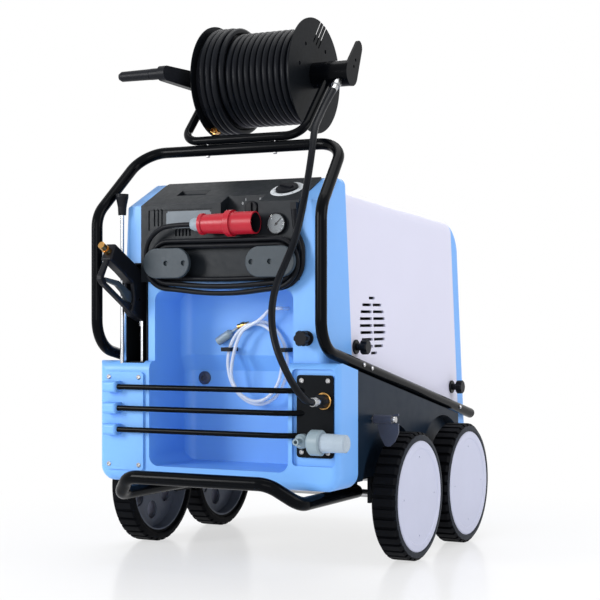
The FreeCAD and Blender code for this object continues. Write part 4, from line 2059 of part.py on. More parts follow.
# Units inside the body
def hollow_box(name, x, y, z, wall):
    """A closed tank with rounded upright edges."""
    outer = rounded(name + "_rounds", block(name + "_outer", x, y, z), D.tank_round,
                    runs_along("z"))
    inner = block(name + "_inner", (x[0] + wall, x[1] - wall), (y[0] + wall, y[1] - wall),
                  (z[0] + wall, z[1] - wall))
    return cut(name, outer, rounded(name + "_inner_rounds", inner, D.tank_round - wall,
                                    runs_along("z")))


def pan_top():
    """The height at which the inner units stand on the chassis pan."""
    return D.pan_floor_z + D.pan_wall + D.unit_gap


def fuel_tank():
    """The fuel tank, with its filler pipe up through the rear panel."""
    low = pan_top()
    tank = hollow_box("tank_shell", (-D.tank_half, D.tank_half), (D.tank_front_y, D.tank_rear_y),
                      (low, D.tank_top_z), D.tank_wall)
    x, y, z = fuel_cap_spot()
    share = math.sqrt(0.5)
    depth = D.fuel_neck_depth
    base = (x, y - depth * share, z - depth * share)
    length = depth + D.fuel_neck_reach
    pipe = rod("filler_pipe", D.fuel_neck_radius, length, base, (0, 1, 1))
    below = (x, base[1] - 20, base[2] - 20)
    bore = rod("filler_bore", D.fuel_neck_radius - 4, length + 40, below, (0, 1, 1))
    node(cut("tank_with_pipe", fuse("tank_fused", tank, pipe), bore), "fuel_tank")


def boiler():
    """The upright water heater: a jacket with its flue, and the burner's blower in front."""
    low = pan_top()
    wall = D.jacket_wall
    x, y = D.boiler_x, D.boiler_y
    radius = D.boiler_radius
    flue = D.flue_radius
    shoulder = D.boiler_top_z - D.flue_length
    dome = shoulder - D.dome_height
    outer = [(low, NONE), (low, radius), (dome, radius), (shoulder, flue),
             (D.boiler_top_z, flue), (D.boiler_top_z, NONE)]
    inner = [(low + wall, NONE), (low + wall, radius - wall), (dome, radius - wall),
             (shoulder - wall, flue - wall), (D.boiler_top_z + 1, flue - wall),
             (D.boiler_top_z + 1, NONE)]
    upright = turn_to((0, 0, 1)).multiply(Rotation(AXIS["y"], -90))
    jacket = lathe("boiler_jacket", outer, x, y, NONE, upright)
    room = lathe("boiler_room", inner, x, y, NONE, upright)
    blower = rod("blower", D.blower_radius, D.blower_height + radius / 2,
                 (x, y - radius - D.blower_height, D.blower_z), (0, 1, 0))
    node(cut("boiler_hollow", fuse("boiler_fused", jacket, blower), room), "boiler")


def motor_and_pump():
    """The electric motor on its foot, and the plunger pump on its shaft end."""
    low = pan_top()
    x0 = D.motor_x - D.motor_length / 2
    x1 = D.motor_x + D.motor_length / 2
    drum = rod("motor_drum", D.motor_radius, D.motor_length, (x0, D.motor_y, D.motor_z),
               (1, 0, 0))
    foot = block("motor_foot", (x0 + 20, x1 - 20),
                 (D.motor_y - D.motor_radius * 0.8, D.motor_y + D.motor_radius * 0.8),
                 (low, low + D.motor_foot))
    web = block("motor_web", (x0 + 30, x1 - 30),
                (D.motor_y - D.motor_radius * 0.4, D.motor_y + D.motor_radius * 0.4),
                (low, D.motor_z))
    shaft = rod("motor_shaft", D.motor_shaft_radius, D.pump_length / 2 + D.unit_gap,
                (x1 - 1, D.motor_y, D.motor_z), (1, 0, 0))
    node(fuse("motor_fused", drum, foot, web, shaft), "motor")
    left = x1 + D.unit_gap
    right = left + D.pump_length
    half = D.pump_width / 2
    case = block("pump_case", (left, right), (D.motor_y - half, D.motor_y + half),
                 (D.motor_z - D.pump_height / 2, D.motor_z + D.pump_height / 2))
    heads = [rod("pump_head_%d" % i, D.head_radius, D.head_length + half,
                 (left + D.pump_length * (0.28 + 0.44 * i), D.motor_y - half - D.head_length,
                  D.motor_z + D.head_radius), (0, 1, 0)) for i in range(2)]
    bore = rod("pump_shaft_bore", D.motor_shaft_radius + D.running_gap, D.pump_length / 2 + 5,
               (left - 1, D.motor_y, D.motor_z), (1, 0, 0))
    node(cut("pump_bored", fuse("pump_fused", case, *heads), bore), "pump")


def float_tank():
    node(hollow_box("float_shell", (D.float_left_x, D.float_right_x),
                    (D.float_front_y, D.float_rear_y), (pan_top(), D.float_top_z),
                    D.tank_wall), "float_tank")


def switch_box():
    """The box of switchgear behind the control panel, on the recess's roof."""
    low = D.recess_roof_z + D.shell_wall + D.unit_gap
    left = D.box_left_x
    front = D.box_front_y
    node(hollow_box("switch_shell", (left, left + D.box_length), (front, front + D.box_depth),
                    (low, low + D.box_height), D.box_wall), "switch_box")


def check_and_export():
    """Stop on any failed feature, then write each sub-part."""
    doc.recompute()
    for feature in doc.Objects:
        bad = [word for word in feature.State if word in ("Invalid", "Error")]
        if bad:
            raise RuntimeError("%s (%s) is %s" % (feature.Name, feature.Label, bad))
    labels = [feature.Label for feature in NODES]
    if len(set(labels)) != len(labels):
        raise RuntimeError("two sub-parts share a name")
    for feature in NODES:
        shape = feature.Shape
        if shape.isNull() or not shape.isValid() or not shape.Solids:
            raise RuntimeError("%s has no valid solid" % feature.Label)
    os.makedirs("parts", exist_ok=True)
    whole = FreeCAD.BoundBox()
    for feature in NODES:
        feature.Shape.exportStep("parts/%s.step" % feature.Label)
        whole.add(feature.Shape.BoundBox)
    print(len(NODES), "sub-parts, box", whole)


running_gear()
chassis()
foot_bar()
frame()
hood_and_rear_panel()
fuel_cap()
front_housing()
lance_tray()
side_panels()
mounting_plates()
guard_bars()
fasteners()
outlet()
water_inlet()
hand_screws()
control_panel()
gauge()
panel_knobs()
cable_hooks()
cable()
plug()
reel_drum()
hose_winding()
reel_frame()
reel_swivel()
crank()
supply_hose()
suction_hose()
suction_fittings()
spray_gun()
lance()
brake()
fuel_tank()
boiler()
motor_and_pump()
float_tank()
switch_box()
check_and_export()
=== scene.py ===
"""Looks of the pressure washer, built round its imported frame."""
import math

import bmesh
import bpy
from mathutils import Matrix, Vector


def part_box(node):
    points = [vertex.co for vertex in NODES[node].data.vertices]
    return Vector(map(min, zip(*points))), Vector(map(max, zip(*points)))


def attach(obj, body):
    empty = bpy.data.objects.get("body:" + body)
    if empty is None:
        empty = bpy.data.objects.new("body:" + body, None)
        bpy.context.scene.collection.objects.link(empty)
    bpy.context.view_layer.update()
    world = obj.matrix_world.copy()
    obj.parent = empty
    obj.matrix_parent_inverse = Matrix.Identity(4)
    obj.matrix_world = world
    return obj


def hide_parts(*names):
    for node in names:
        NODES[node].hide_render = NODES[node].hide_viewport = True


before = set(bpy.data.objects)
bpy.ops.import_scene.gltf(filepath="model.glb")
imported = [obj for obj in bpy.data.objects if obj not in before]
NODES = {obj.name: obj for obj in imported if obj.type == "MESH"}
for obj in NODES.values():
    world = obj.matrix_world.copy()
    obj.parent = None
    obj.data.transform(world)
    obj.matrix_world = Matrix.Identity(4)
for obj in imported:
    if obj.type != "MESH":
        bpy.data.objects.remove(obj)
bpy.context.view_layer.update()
MM = 0.001


# Camera, fitted to the photograph
CAMERA_AT = (1.8322, -3.5474, 0.6066)
CAMERA_TILT = 90
CAMERA_TURN = 26.985
CAMERA_LENS = 89.8
CAMERA_SENSOR = 36
CAMERA_SHIFT = 0.02825

camera_data = bpy.data.cameras.new("camera")
camera_data.lens = CAMERA_LENS
camera_data.sensor_width = CAMERA_SENSOR
camera_data.shift_y = CAMERA_SHIFT
camera = bpy.data.objects.new("camera", camera_data)
camera.location = CAMERA_AT
camera.rotation_euler = (math.radians(CAMERA_TILT), 0, math.radians(CAMERA_TURN))
bpy.context.scene.collection.objects.link(camera)
bpy.context.scene.camera = camera
bpy.context.scene.view_settings.view_transform = "Standard"


# Materials
NOISE_LOW = 0.3
NOISE_HIGH = 0.7
DARK_STOP = 0.25
LIGHT_STOP = 0.75
DRIFT_DETAIL = 5.0
GRAIN_DETAIL = 3.0
GRAIN_ROUGHNESS = 0.6
SCUFF_FINENESS = 7
SCUFF_DETAIL = 8.0
SCUFF_ROUGHNESS = 0.7
SMOOTHEST = 0.02
COAT_ROUGHNESS = 0.06


def new_material(name):
    material = bpy.data.materials.new(name)
    material.use_nodes = True
    tree = material.node_tree
    return material, tree, tree.nodes["Principled BSDF"]


def link(tree, source, target):
    tree.links.new(source, target)


def object_noise(tree, scale, detail=4.0, roughness=0.55, stretch=(1, 1, 1)):
    """Noise in the piece's own space, so that it moves with the piece."""
    place = tree.nodes.new("ShaderNodeTexCoord")
    spread = tree.nodes.new("ShaderNodeMapping")
    spread.inputs["Scale"].default_value = stretch
    noise = tree.nodes.new("ShaderNodeTexNoise")
    noise.inputs["Scale"].default_value = scale
    noise.inputs["Detail"].default_value = detail
    noise.inputs["Roughness"].default_value = roughness
    link(tree, place.outputs["Object"], spread.inputs["Vector"])
    link(tree, spread.outputs["Vector"], noise.inputs["Vector"])
    return noise.outputs["Fac"]


def ramp(tree, value, stops):
    """A colour ramp through (place, colour) stops."""
    node = tree.nodes.new("ShaderNodeValToRGB")
    elements = node.color_ramp.elements
    while len(elements) < len(stops):
        elements.new(0.5)
    for element, (place, colour) in zip(elements, stops):
        element.position = place
        element.color = (*colour, 1)
    link(tree, value, node.inputs["Fac"])
    return node.outputs["Color"]


def spread_value(tree, value, low, high):
    """Stretch the middle of a noise, where nearly all of it lies, from low to high."""
    node = tree.nodes.new("ShaderNodeMapRange")
    node.inputs["From Min"].default_value = NOISE_LOW
    node.inputs["From Max"].default_value = NOISE_HIGH
    node.inputs["To Min"].default_value = low
    node.inputs["To Max"].default_value = high
    link(tree, value, node.inputs["Value"])
    return node.outputs["Result"]


def bump(tree, shader, height, strength, distance):
    node = tree.nodes.new("ShaderNodeBump")
    node.inputs["Strength"].default_value = strength
    node.inputs["Distance"].default_value = distance
    link(tree, height, node.inputs["Height"])
    link(tree, node.outputs["Normal"], shader.inputs["Normal"])


def shade(colour, factor):
    return tuple(min(value * factor, 1) for value in colour)


def finish_of(name, colour, roughness, metallic=0.0, drift=0.06, drift_scale=6.0,
              grain_scale=900.0, grain=0.25, grain_depth=0.00008, rough_drift=0.06,
              coat=0.0, transmission=0.0, specular=0.5, stretch=(1, 1, 1)):
    """A surface whose colour and gloss drift slowly, with a fine moulded or cast grain."""
    material, tree, shader = new_material(name)
    slow = object_noise(tree, drift_scale, DRIFT_DETAIL)
    link(tree, ramp(tree, slow, [(DARK_STOP, shade(colour, 1 - drift)),
                                 (LIGHT_STOP, shade(colour, 1 + drift))]),
         shader.inputs["Base Color"])
    fine = object_noise(tree, grain_scale, GRAIN_DETAIL, GRAIN_ROUGHNESS, stretch)
    scuff = object_noise(tree, drift_scale * SCUFF_FINENESS, SCUFF_DETAIL, SCUFF_ROUGHNESS)
    link(tree, spread_value(tree, scuff, max(roughness - rough_drift, SMOOTHEST),
                            roughness + rough_drift), shader.inputs["Roughness"])
    bump(tree, shader, fine, grain, grain_depth)
    shader.inputs["Metallic"].default_value = metallic
    shader.inputs["Coat Weight"].default_value = coat
    shader.inputs["Coat Roughness"].default_value = COAT_ROUGHNESS
    shader.inputs["Transmission Weight"].default_value = transmission
    shader.inputs["Specular IOR Level"].default_value = specular
    return material


BLUE = finish_of("moulded_blue", (0.175, 0.43, 0.9), 0.42, drift=0.035, drift_scale=3.0,
                 grain_scale=420, grain=0.22, grain_depth=0.00025, rough_drift=0.05,
                 specular=0.4)
LILAC = finish_of("moulded_lilac", (0.7, 0.7, 0.84), 0.42, drift=0.02, drift_scale=2.0,
                  grain_scale=480, grain=0.16, grain_depth=0.0002, rough_drift=0.05,
                  specular=0.35)
HUB = finish_of("hub_plastic", (0.56, 0.58, 0.72), 0.42, drift=0.03, drift_scale=8.0,
                grain_scale=600, grain=0.15, rough_drift=0.05, specular=0.35)
# The wheels' inner sides: the caps' plastic painted dark, as painted shade
SHADED_HUB = finish_of("hub_inside_painted_shade", (0.13, 0.15, 0.2), 0.5, drift=0.08, drift_scale=9.0,
                      specular=0.3)
TYRE = finish_of("tyre_tread", (0.004, 0.0045, 0.006), 0.62, drift=0.25, drift_scale=9.0,
                 grain_scale=1300, grain=0.4, grain_depth=0.0002, rough_drift=0.08,
                 specular=0.05)
SIDEWALL = finish_of("tyre_sidewall", (0.012, 0.016, 0.024), 0.5, drift=0.2,
                     drift_scale=9.0, grain_scale=1300, grain=0.3, grain_depth=0.00015,
                     rough_drift=0.06, specular=0.12)
TUBE = finish_of("powder_gloss", (0.0015, 0.002, 0.003), 0.17, drift=0.2, drift_scale=20.0,
                 grain_scale=420, grain=0.04, grain_depth=0.0001, rough_drift=0.04,
                 specular=0.055)
PLATE = finish_of("plate_paint", (0.004, 0.005, 0.0065), 0.36, drift=0.2, drift_scale=14.0,
                  grain_scale=900, grain=0.14, specular=0.06)
SIDE = finish_of("panel_paint", (0.006, 0.014, 0.028), 0.34, drift=0.12, drift_scale=4.0,
                 grain_scale=700, grain=0.12, rough_drift=0.06, specular=0.075)
PAN = finish_of("pan_paint", (0.01, 0.012, 0.016), 0.5, drift=0.25, drift_scale=7.0,
                specular=0.08)
CONSOLE = finish_of("console_plastic", (0.009, 0.012, 0.016), 0.42, drift=0.12,
                    drift_scale=10.0, grain_scale=1500, grain=0.35, rough_drift=0.07,
                    specular=0.16)
BLACK = finish_of("black_plastic", (0.007, 0.008, 0.011), 0.4, drift=0.18,
                  drift_scale=16.0, grain_scale=1600, grain=0.4, rough_drift=0.08,
                  specular=0.12)
HOOK = finish_of("hook_plastic", (0.032, 0.045, 0.057), 0.46, drift=0.1,
                 drift_scale=22.0, grain_scale=1800, grain=0.4, rough_drift=0.06,
                 specular=0.3)
GUN_GRIP = finish_of("gun_plastic", (0.006, 0.007, 0.01), 0.36, drift=0.2,
                     drift_scale=25.0, grain_scale=1700, grain=0.45, specular=0.14)
SLATE = finish_of("slate_plastic", (0.05, 0.058, 0.09), 0.4, drift=0.1, drift_scale=20.0,
                  specular=0.3)
RED = finish_of("plug_red", (0.4, 0.008, 0.022), 0.34, drift=0.06, drift_scale=26.0,
                grain_scale=1500, grain=0.22, rough_drift=0.07, specular=0.35)
GLAND = finish_of("gland_grey", (0.27, 0.33, 0.38), 0.45, drift=0.07, drift_scale=30.0,
                  grain_scale=1500, grain=0.2, specular=0.3)
RUBBER = finish_of("cable_sheath", (0.006, 0.007, 0.0095), 0.38, drift=0.22,
                   drift_scale=30.0, grain_scale=1400, grain=0.4, rough_drift=0.1,
                   specular=0.1)
HOSE = finish_of("hose_cover", (0.005, 0.006, 0.0085), 0.32, drift=0.2, drift_scale=22.0,
                 grain_scale=800, grain=0.35, grain_depth=0.00015, rough_drift=0.08,
                 specular=0.09)
ZINC = finish_of("zinc_plate", (0.44, 0.44, 0.45), 0.3, metallic=1.0, drift=0.1,
                 drift_scale=60.0, grain_scale=1200, grain=0.12)
CHROME = finish_of("chrome_plate", (0.6, 0.62, 0.65), 0.12, metallic=1.0, drift=0.03,
                   drift_scale=40.0, grain_scale=700, grain=0.03, rough_drift=0.04)
TURNED = finish_of("turned_steel", (0.45, 0.46, 0.47), 0.28, metallic=1.0, drift=0.08,
                   drift_scale=40.0, grain_scale=260, grain=0.25, stretch=(1, 14, 1))
BRASS = finish_of("turned_brass", (0.5, 0.28, 0.09), 0.24, metallic=1.0, drift=0.12,
                  drift_scale=50.0, grain_scale=260, grain=0.2, stretch=(1, 14, 1))
CAST = finish_of("cast_metal", (0.3, 0.31, 0.33), 0.5, metallic=0.9, drift=0.15,
                 drift_scale=14.0, grain_scale=300, grain=0.5)
SHEET = finish_of("sheet_steel", (0.45, 0.46, 0.48), 0.35, metallic=1.0, drift=0.06,
                  drift_scale=6.0, grain_scale=200, grain=0.2, stretch=(1, 1, 12))
TANK = finish_of("tank_plastic", (0.6, 0.6, 0.57), 0.5, drift=0.04, drift_scale=5.0)
BOX = finish_of("box_plastic", (0.18, 0.2, 0.22), 0.45, drift=0.08, drift_scale=8.0)
INLET = finish_of("inlet_plastic", (0.26, 0.34, 0.39), 0.34, drift=0.06, drift_scale=35.0,
                  grain_scale=1300, grain=0.15, rough_drift=0.06)
BOWL = finish_of("bowl_plastic", (0.38, 0.46, 0.54), 0.24, drift=0.05, drift_scale=25.0,
                 grain_scale=300, grain=0.01, specular=0.4)
CLEAR = finish_of("clear_tube", (0.88, 0.93, 0.99), 0.18, drift=0.02, drift_scale=40.0,
                  grain_scale=500, grain=0.04, transmission=0.35)
LENS = finish_of("gauge_lens", (0.95, 0.96, 0.97), 0.06, drift=0.01, transmission=1.0,
                 grain=0.01, rough_drift=0.02)
DIAL = finish_of("dial_face", (0.3, 0.33, 0.36), 0.5, drift=0.02, drift_scale=60.0,
                 grain=0.05)
INK = finish_of("dial_ink", (0.01, 0.01, 0.012), 0.5, drift=0.1, drift_scale=60.0,
                specular=0.2)
LAMP_RED = finish_of("cap_red", (0.55, 0.008, 0.04), 0.22, drift=0.08, drift_scale=60.0,
                     coat=0.5)
PALE = finish_of("pale_print", (0.62, 0.66, 0.7), 0.45, drift=0.05, drift_scale=60.0)
PRINT_GREY = finish_of("label_grey", (0.13, 0.16, 0.19), 0.4, drift=0.08, drift_scale=30.0,
                       grain_scale=1500, grain=0.2, specular=0.3)
NICKEL = finish_of("nickel_pins", (0.85, 0.85, 0.82), 0.3, metallic=1.0, drift=0.04,
                   drift_scale=60.0)


# Cords and hoses
ROUND_STEP = 30
# Control points this much outside a round make the lines between them touch it.
FLARE = 1 / math.cos(math.radians(ROUND_STEP / 2))
# A straight stretch's first point is this many radii past the round's end.
STRAIGHT = math.tan(math.radians(ROUND_STEP / 2))
CORD_ORDER = 3
CORD_STEPS = 6
CORD_ROUNDNESS = 5


def tube(name, route, radius, material, body):
    """A round cord on one smooth NURBS line through its route, given in millimetres."""
    curve = bpy.data.curves.new(name, "CURVE")
    curve.dimensions = "3D"
    line = curve.splines.new("NURBS")
    line.points.add(len(route) - 1)
    for point, place in zip(line.points, route):
        point.co = (place[0] * MM, place[1] * MM, place[2] * MM, 1)
    line.order_u = CORD_ORDER
    line.use_endpoint_u = True
    line.resolution_u = CORD_STEPS
    curve.bevel_depth = radius * MM
    curve.bevel_resolution = CORD_ROUNDNESS
    curve.use_fill_caps = True
    curve.materials.append(material)
    piece = bpy.data.objects.new(name, curve)
    bpy.context.scene.collection.objects.link(piece)
    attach(piece, body)
    return piece


def step_up(turn, at, rate):
    """0 up to the turn called at, and from there on to 1 by the rate per turn."""
    return min(max((turn - at) * rate, 0), 1)


# The power cable: down from its gland, round the two hooks, and up to the plug
CABLE_RADIUS = 6
COIL_TURNS = 4.5
COIL_PITCH = 13.5
COIL_REACH = 34.6
COIL_LEFT = -130
COIL_RIGHT = 170
COIL_Z = 738
COIL_BACK_Y = -396.6
COIL_FRONT_Y = -409.8
COIL_SAG = 4
COIL_SAG_GROWTH = 3
MIDDLE_SAG = 1.25
END_SAG = 0.2
RUN_TURN = 0.02
RUN_SHARES = (0, 0.33, 0.67, 1)
UPPER_ANGLES = (75, 45, 15)
LOWER_ANGLES = (-15, -45, -75)
RISING_ANGLES = (-75, -45, -15, 15, 45, 75)
GLAND_AT = (213, COIL_BACK_Y, 838)
CABLE_HEAD = [GLAND_AT, (213, COIL_BACK_Y, 815), (235, COIL_BACK_Y, 780),
              (235, COIL_BACK_Y, 752)]
CABLE_TAIL = [(-195, -409.8, 750), (-195, -409.8, 770), (-188.8, -411, 789),
              (-175.3, -414.5, 806.3), (-153.5, -419, 820.8), (-120.5, -423, 831.5),
              (-53, -423, 831.5)]


def coil_radius(turn):
    """The round ends are tightest half way through the coil."""
    return COIL_REACH + abs(COIL_TURNS / 2 - turn) * COIL_PITCH


def coil_climb(turn):
    """0 in the back layer and 1 in the front one, which it reaches over half a turn."""
    return min(max((turn - COIL_TURNS / 2) * 2 + 0.5, 0), 1)


def coil_y(climb):
    return COIL_BACK_Y + (COIL_FRONT_Y - COIL_BACK_Y) * climb


def coil_spot(x, turn, angle):
    """A control point outside one loop's round end, after so many turns."""
    wide = coil_radius(turn) * FLARE
    return (x + wide * math.cos(math.radians(angle)), coil_y(coil_climb(turn)),
            COIL_Z + wide * math.sin(math.radians(angle)))


def coil_run(start_x, end_x, turn, side, sag):
    """Control points of the straight run between the two round ends."""
    wide = coil_radius(turn)
    heading = 1 if end_x > start_x else -1
    level = COIL_Z + side * wide
    first = start_x + heading * wide * STRAIGHT
    last = end_x - heading * wide * STRAIGHT
    climb_in = coil_climb(turn - RUN_TURN)
    climb_out = coil_climb(turn + RUN_TURN)
    points = []
    for share in RUN_SHARES:
        dip = sag * (MIDDLE_SAG if 0 < share < 1 else END_SAG)
        points.append((first + (last - first) * share,
                       coil_y(climb_in + (climb_out - climb_in) * share), level - dip))
    return points


def right_end(loop, angles):
    return [coil_spot(COIL_RIGHT, loop - angle / 360, angle) for angle in angles]


def left_end(loop, angles):
    """The left round end mirrors the right one."""
    points = []
    for angle in angles:
        x, y, z = coil_spot(COIL_LEFT, loop + 0.5 + angle / 360, angle)
        points.append((2 * COIL_LEFT - x, y, z))
    return points


def coil_route():
    points = list(CABLE_HEAD)
    for loop in range(int(COIL_TURNS) + 1):
        if loop:
            points.extend(right_end(loop, UPPER_ANGLES))
        points.extend(right_end(loop, LOWER_ANGLES))
        sag = COIL_SAG + COIL_SAG_GROWTH * abs(COIL_TURNS / 2 - loop - 0.25)
        points.extend(coil_run(COIL_RIGHT, COIL_LEFT, loop + 0.25, -1, sag))
        if loop < int(COIL_TURNS):
            points.extend(left_end(loop, RISING_ANGLES))
            points.extend(coil_run(COIL_LEFT, COIL_RIGHT, loop + 0.75, 1, 0))
        else:
            points.extend(left_end(loop, RISING_ANGLES[:3]))
    return points


cable = tube("power_cable", coil_route() + CABLE_TAIL, CABLE_RADIUS, RUBBER, "root")
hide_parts("cable_coil", "cable_tail")

# The supply hose from the reel's union to the outlet
SUPPLY_RADIUS = 8.5
SUPPLY_ROUTE = [(209, -177.74, 1172.82), (209, -218.6, 1136), (214, -262, 1099),
                (222, -308, 1063), (235, -345, 1012), (243, -377, 957), (245, -402, 900),
                (243, -421, 845), (239, -441, 790), (228, -465, 738), (216, -492, 686),
                (216, -517, 633), (228, -538, 580), (247, -551, 533), (268, -554, 492),
                (285, -545, 455), (294, -520, 426), (297, -486, 410), (297, -452.9, 410)]
supply = tube("supply_hose_line", SUPPLY_ROUTE, SUPPLY_RADIUS, HOSE, "root")
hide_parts("supply_hose")

# The hose on the reel: its outer turns, a layer higher over the last four
REEL_Y = -122
REEL_Z = 1223
HOSE_TURNS = 15
LOWER_TURNS = 11
HOSE_RING = 113.5
HOSE_PITCH = 17.3
HOSE_FIRST_X = 119.75
HOSE_TAIL = 22
HOSE_LEAD = 16.5
HOSE_EASE = 0.4
HOSE_CLIMB = 2
REEL_HOSE_RADIUS = 8.25


def reel_route():
    points = [(HOSE_FIRST_X, REEL_Y + HOSE_LEAD, REEL_Z - HOSE_RING)]
    steps = HOSE_TURNS * 360 // ROUND_STEP
    for step in range(steps):
        angle = ROUND_STEP * (step + 0.5)
        turn = angle / 360
        lift = step_up(turn, LOWER_TURNS, HOSE_CLIMB)
        ring = (HOSE_RING + HOSE_PITCH * lift) * FLARE
        points.append((HOSE_FIRST_X - HOSE_PITCH * turn,
                       REEL_Y - ring * math.sin(math.radians(angle)),
                       REEL_Z - ring * math.cos(math.radians(angle))))
    end_x = HOSE_FIRST_X - HOSE_PITCH * HOSE_TURNS
    low = REEL_Z - HOSE_RING - HOSE_PITCH
    past = (HOSE_RING + HOSE_PITCH) * STRAIGHT
    points.append((end_x, REEL_Y - past * HOSE_EASE, low))
    points.append((end_x, REEL_Y - HOSE_TAIL, low))
    return points


winding = tube("reel_hose", reel_route(), REEL_HOSE_RADIUS, HOSE, "reel")
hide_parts("hose_winding")

# The clear suction hose: two loops in front of the recess's wall
LOOP_X = 38
LOOP_Z = 491
LOOP_WIDE = 82
LOOP_WIDE_LOSS = 12
LOOP_WIDE_FROM = 0.6
LOOP_TALL = 105
LOOP_TALL_LOSS = 8
LOOP_TALL_FROM = 0.25
LOOP_LAYER = 14.5
LOOP_STEPS = (0.5, 1.5)
LOOP_CLIMB = 4
HOSE_BACK_Y = -253.3
CLEAR_RADIUS = 4.5
VALVE_AT = (10, 588)
VALVE_RISE = 0.22
VALVE_LEAD = 16


def loop_route():
    slant = Vector((1, 0, VALVE_RISE)).normalized()
    start = Vector((VALVE_AT[0], HOSE_BACK_Y, VALVE_AT[1]))
    points = [tuple(start), tuple(start + slant * VALVE_LEAD)]
    steps = 2 * 360 // ROUND_STEP - 3
    for step in range(steps):
        turn = ROUND_STEP * (step + 0.5) / 360
        angle = math.radians(90 - ROUND_STEP * (step + 0.5))
        wide = LOOP_WIDE - LOOP_WIDE_LOSS * max(turn - LOOP_WIDE_FROM, 0)
        tall = LOOP_TALL - LOOP_TALL_LOSS * max(turn - LOOP_TALL_FROM, 0)
        layer = sum(step_up(turn, at, LOOP_CLIMB) for at in LOOP_STEPS)
        points.append((LOOP_X + wide * FLARE * math.cos(angle),
                       HOSE_BACK_Y - LOOP_LAYER * layer,
                       LOOP_Z + tall * FLARE * math.sin(angle)))
    deep = HOSE_BACK_Y - 2 * LOOP_LAYER
    points.extend([(-3, deep, 566), (30, deep, 586), (62, deep, 601), (86, deep, 628),
                   (117, deep, 628), (117, deep + 16, 628), (117, -242.3, 628)])
    return points


clear_hose = tube("clear_suction_hose", loop_route(), CLEAR_RADIUS, CLEAR, "root")
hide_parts("suction_hose")


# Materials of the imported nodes
def paint(names, material):
    for name in names.split():
        mesh = NODES[name].data
        mesh.materials.clear()
        mesh.materials.append(material)


def paint_parts(name, rules):
    """Each face takes the first rule's material that its centre, in metres, meets."""
    mesh = NODES[name].data
    mesh.materials.clear()
    for material, _ in rules:
        mesh.materials.append(material)
    for face in mesh.polygons:
        centre = face.center
        for index, (_, rule) in enumerate(rules):
            if rule(centre):
                face.material_index = index
                break


# The tyres' outer walls, and the wheels' caps with the outer lips; the rest of each wheel is
# the caps' plastic painted darker, as painted shade
SIDEWALL_X = 0.4067
HUB_FACE_X = 0.389
for wheel in ("front_left", "front_right", "rear_left", "rear_right"):
    side = 1 if wheel.endswith("right") else -1
    paint_parts("tyre_" + wheel, [(SIDEWALL, lambda c, s=side: c.x * s > SIDEWALL_X),
                                  (TYRE, lambda c: True)])
    paint_parts("wheel_" + wheel, [(HUB, lambda c, s=side: c.x * s > HUB_FACE_X),
                                   (SHADED_HUB, lambda c: True)])
paint("axles", ZINC)
# Only the plug screw in the recess is dark.
RECESS_Y = -0.27
RECESS_HALF = 0.2
RECESS_TOP = 0.6
paint_parts("fasteners", [
    (SLATE, lambda c: c.y > RECESS_Y and abs(c.x) < RECESS_HALF and c.z < RECESS_TOP),
    (ZINC, lambda c: True)])
paint("frame_tube foot_bar reel_frame guard_bars", TUBE)
paint("lance_tray reel_drum", PLATE)
paint_parts("mounting_plates", [(BLUE, lambda c: c.x < 0), (PLATE, lambda c: True)])
paint("chassis_pan", PAN)
paint("hood", LILAC)
paint("front_housing rear_panel", BLUE)
paint("side_panels", SIDE)
paint("control_panel", CONSOLE)
paint("cable_hooks", HOOK)
paint("hand_screws main_switch thermostat_dial crank_arm crank_grip cable_gland "
      "lance_nozzle hose_core outlet_nut", BLACK)
paint("fuel_cap", LAMP_RED)
paint("gun_body", GUN_GRIP)
paint("pressure_gauge", BLACK)
paint("gauge_needle", INK)
paint("lance", CHROME)
paint("reel_swivel", TURNED)
paint("gun_trigger", HOOK)
paint("plug_pins", NICKEL)
paint("hose_end", BRASS)
paint("water_inlet", INLET)
paint("filter_bowl", BOWL)
paint("brake_lever", SLATE)
paint("motor", CAST)
paint("pump", BRASS)
paint("boiler", SHEET)
paint("fuel_tank float_tank", TANK)
paint("switch_box", BOX)
nut_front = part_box("outlet_nut")[0].y
paint_parts("outlet_fitting", [(CHROME, lambda c: c.y < nut_front), (BRASS, lambda c: True)])
# The plug's grey gland, and the dark inside of its shroud
PLUG_AXIS = Vector((0, -0.423, 0.8315))
GLAND_END_X = -0.0272
SHROUD_X = 0.05
SHROUD_INSIDE = 0.0246
paint_parts("plug_body", [
    (GLAND, lambda c: c.x < GLAND_END_X),
    (BLACK, lambda c: c.x > SHROUD_X and (c - PLUG_AXIS).yz.length < SHROUD_INSIDE),
    (RED, lambda c: True)])
# The gun's brass inlet, the clear hose's clips and the brass end of its valve
GUN_INLET_Y = -0.47
CLIPS_BELOW = 0.535
VALVE_BRASS_X = -0.021
paint_parts("gun_fittings", [(BRASS, lambda c: c.y < GUN_INLET_Y), (CHROME, lambda c: True)])
paint_parts("suction_fittings", [(BLACK, lambda c: c.z < CLIPS_BELOW),
                                 (BRASS, lambda c: c.x > VALVE_BRASS_X),
                                 (INLET, lambda c: True)])
SMOOTH_TURN = 32
for node in NODES.values():
    node.data.set_sharp_from_angle(angle=math.radians(SMOOTH_TURN))


# Detail pieces
def mesh_piece(name, mesh, material, body):
    mesh.materials.append(material)
    piece = bpy.data.objects.new(name, mesh)
    bpy.context.scene.collection.objects.link(piece)
    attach(piece, body)
    return piece


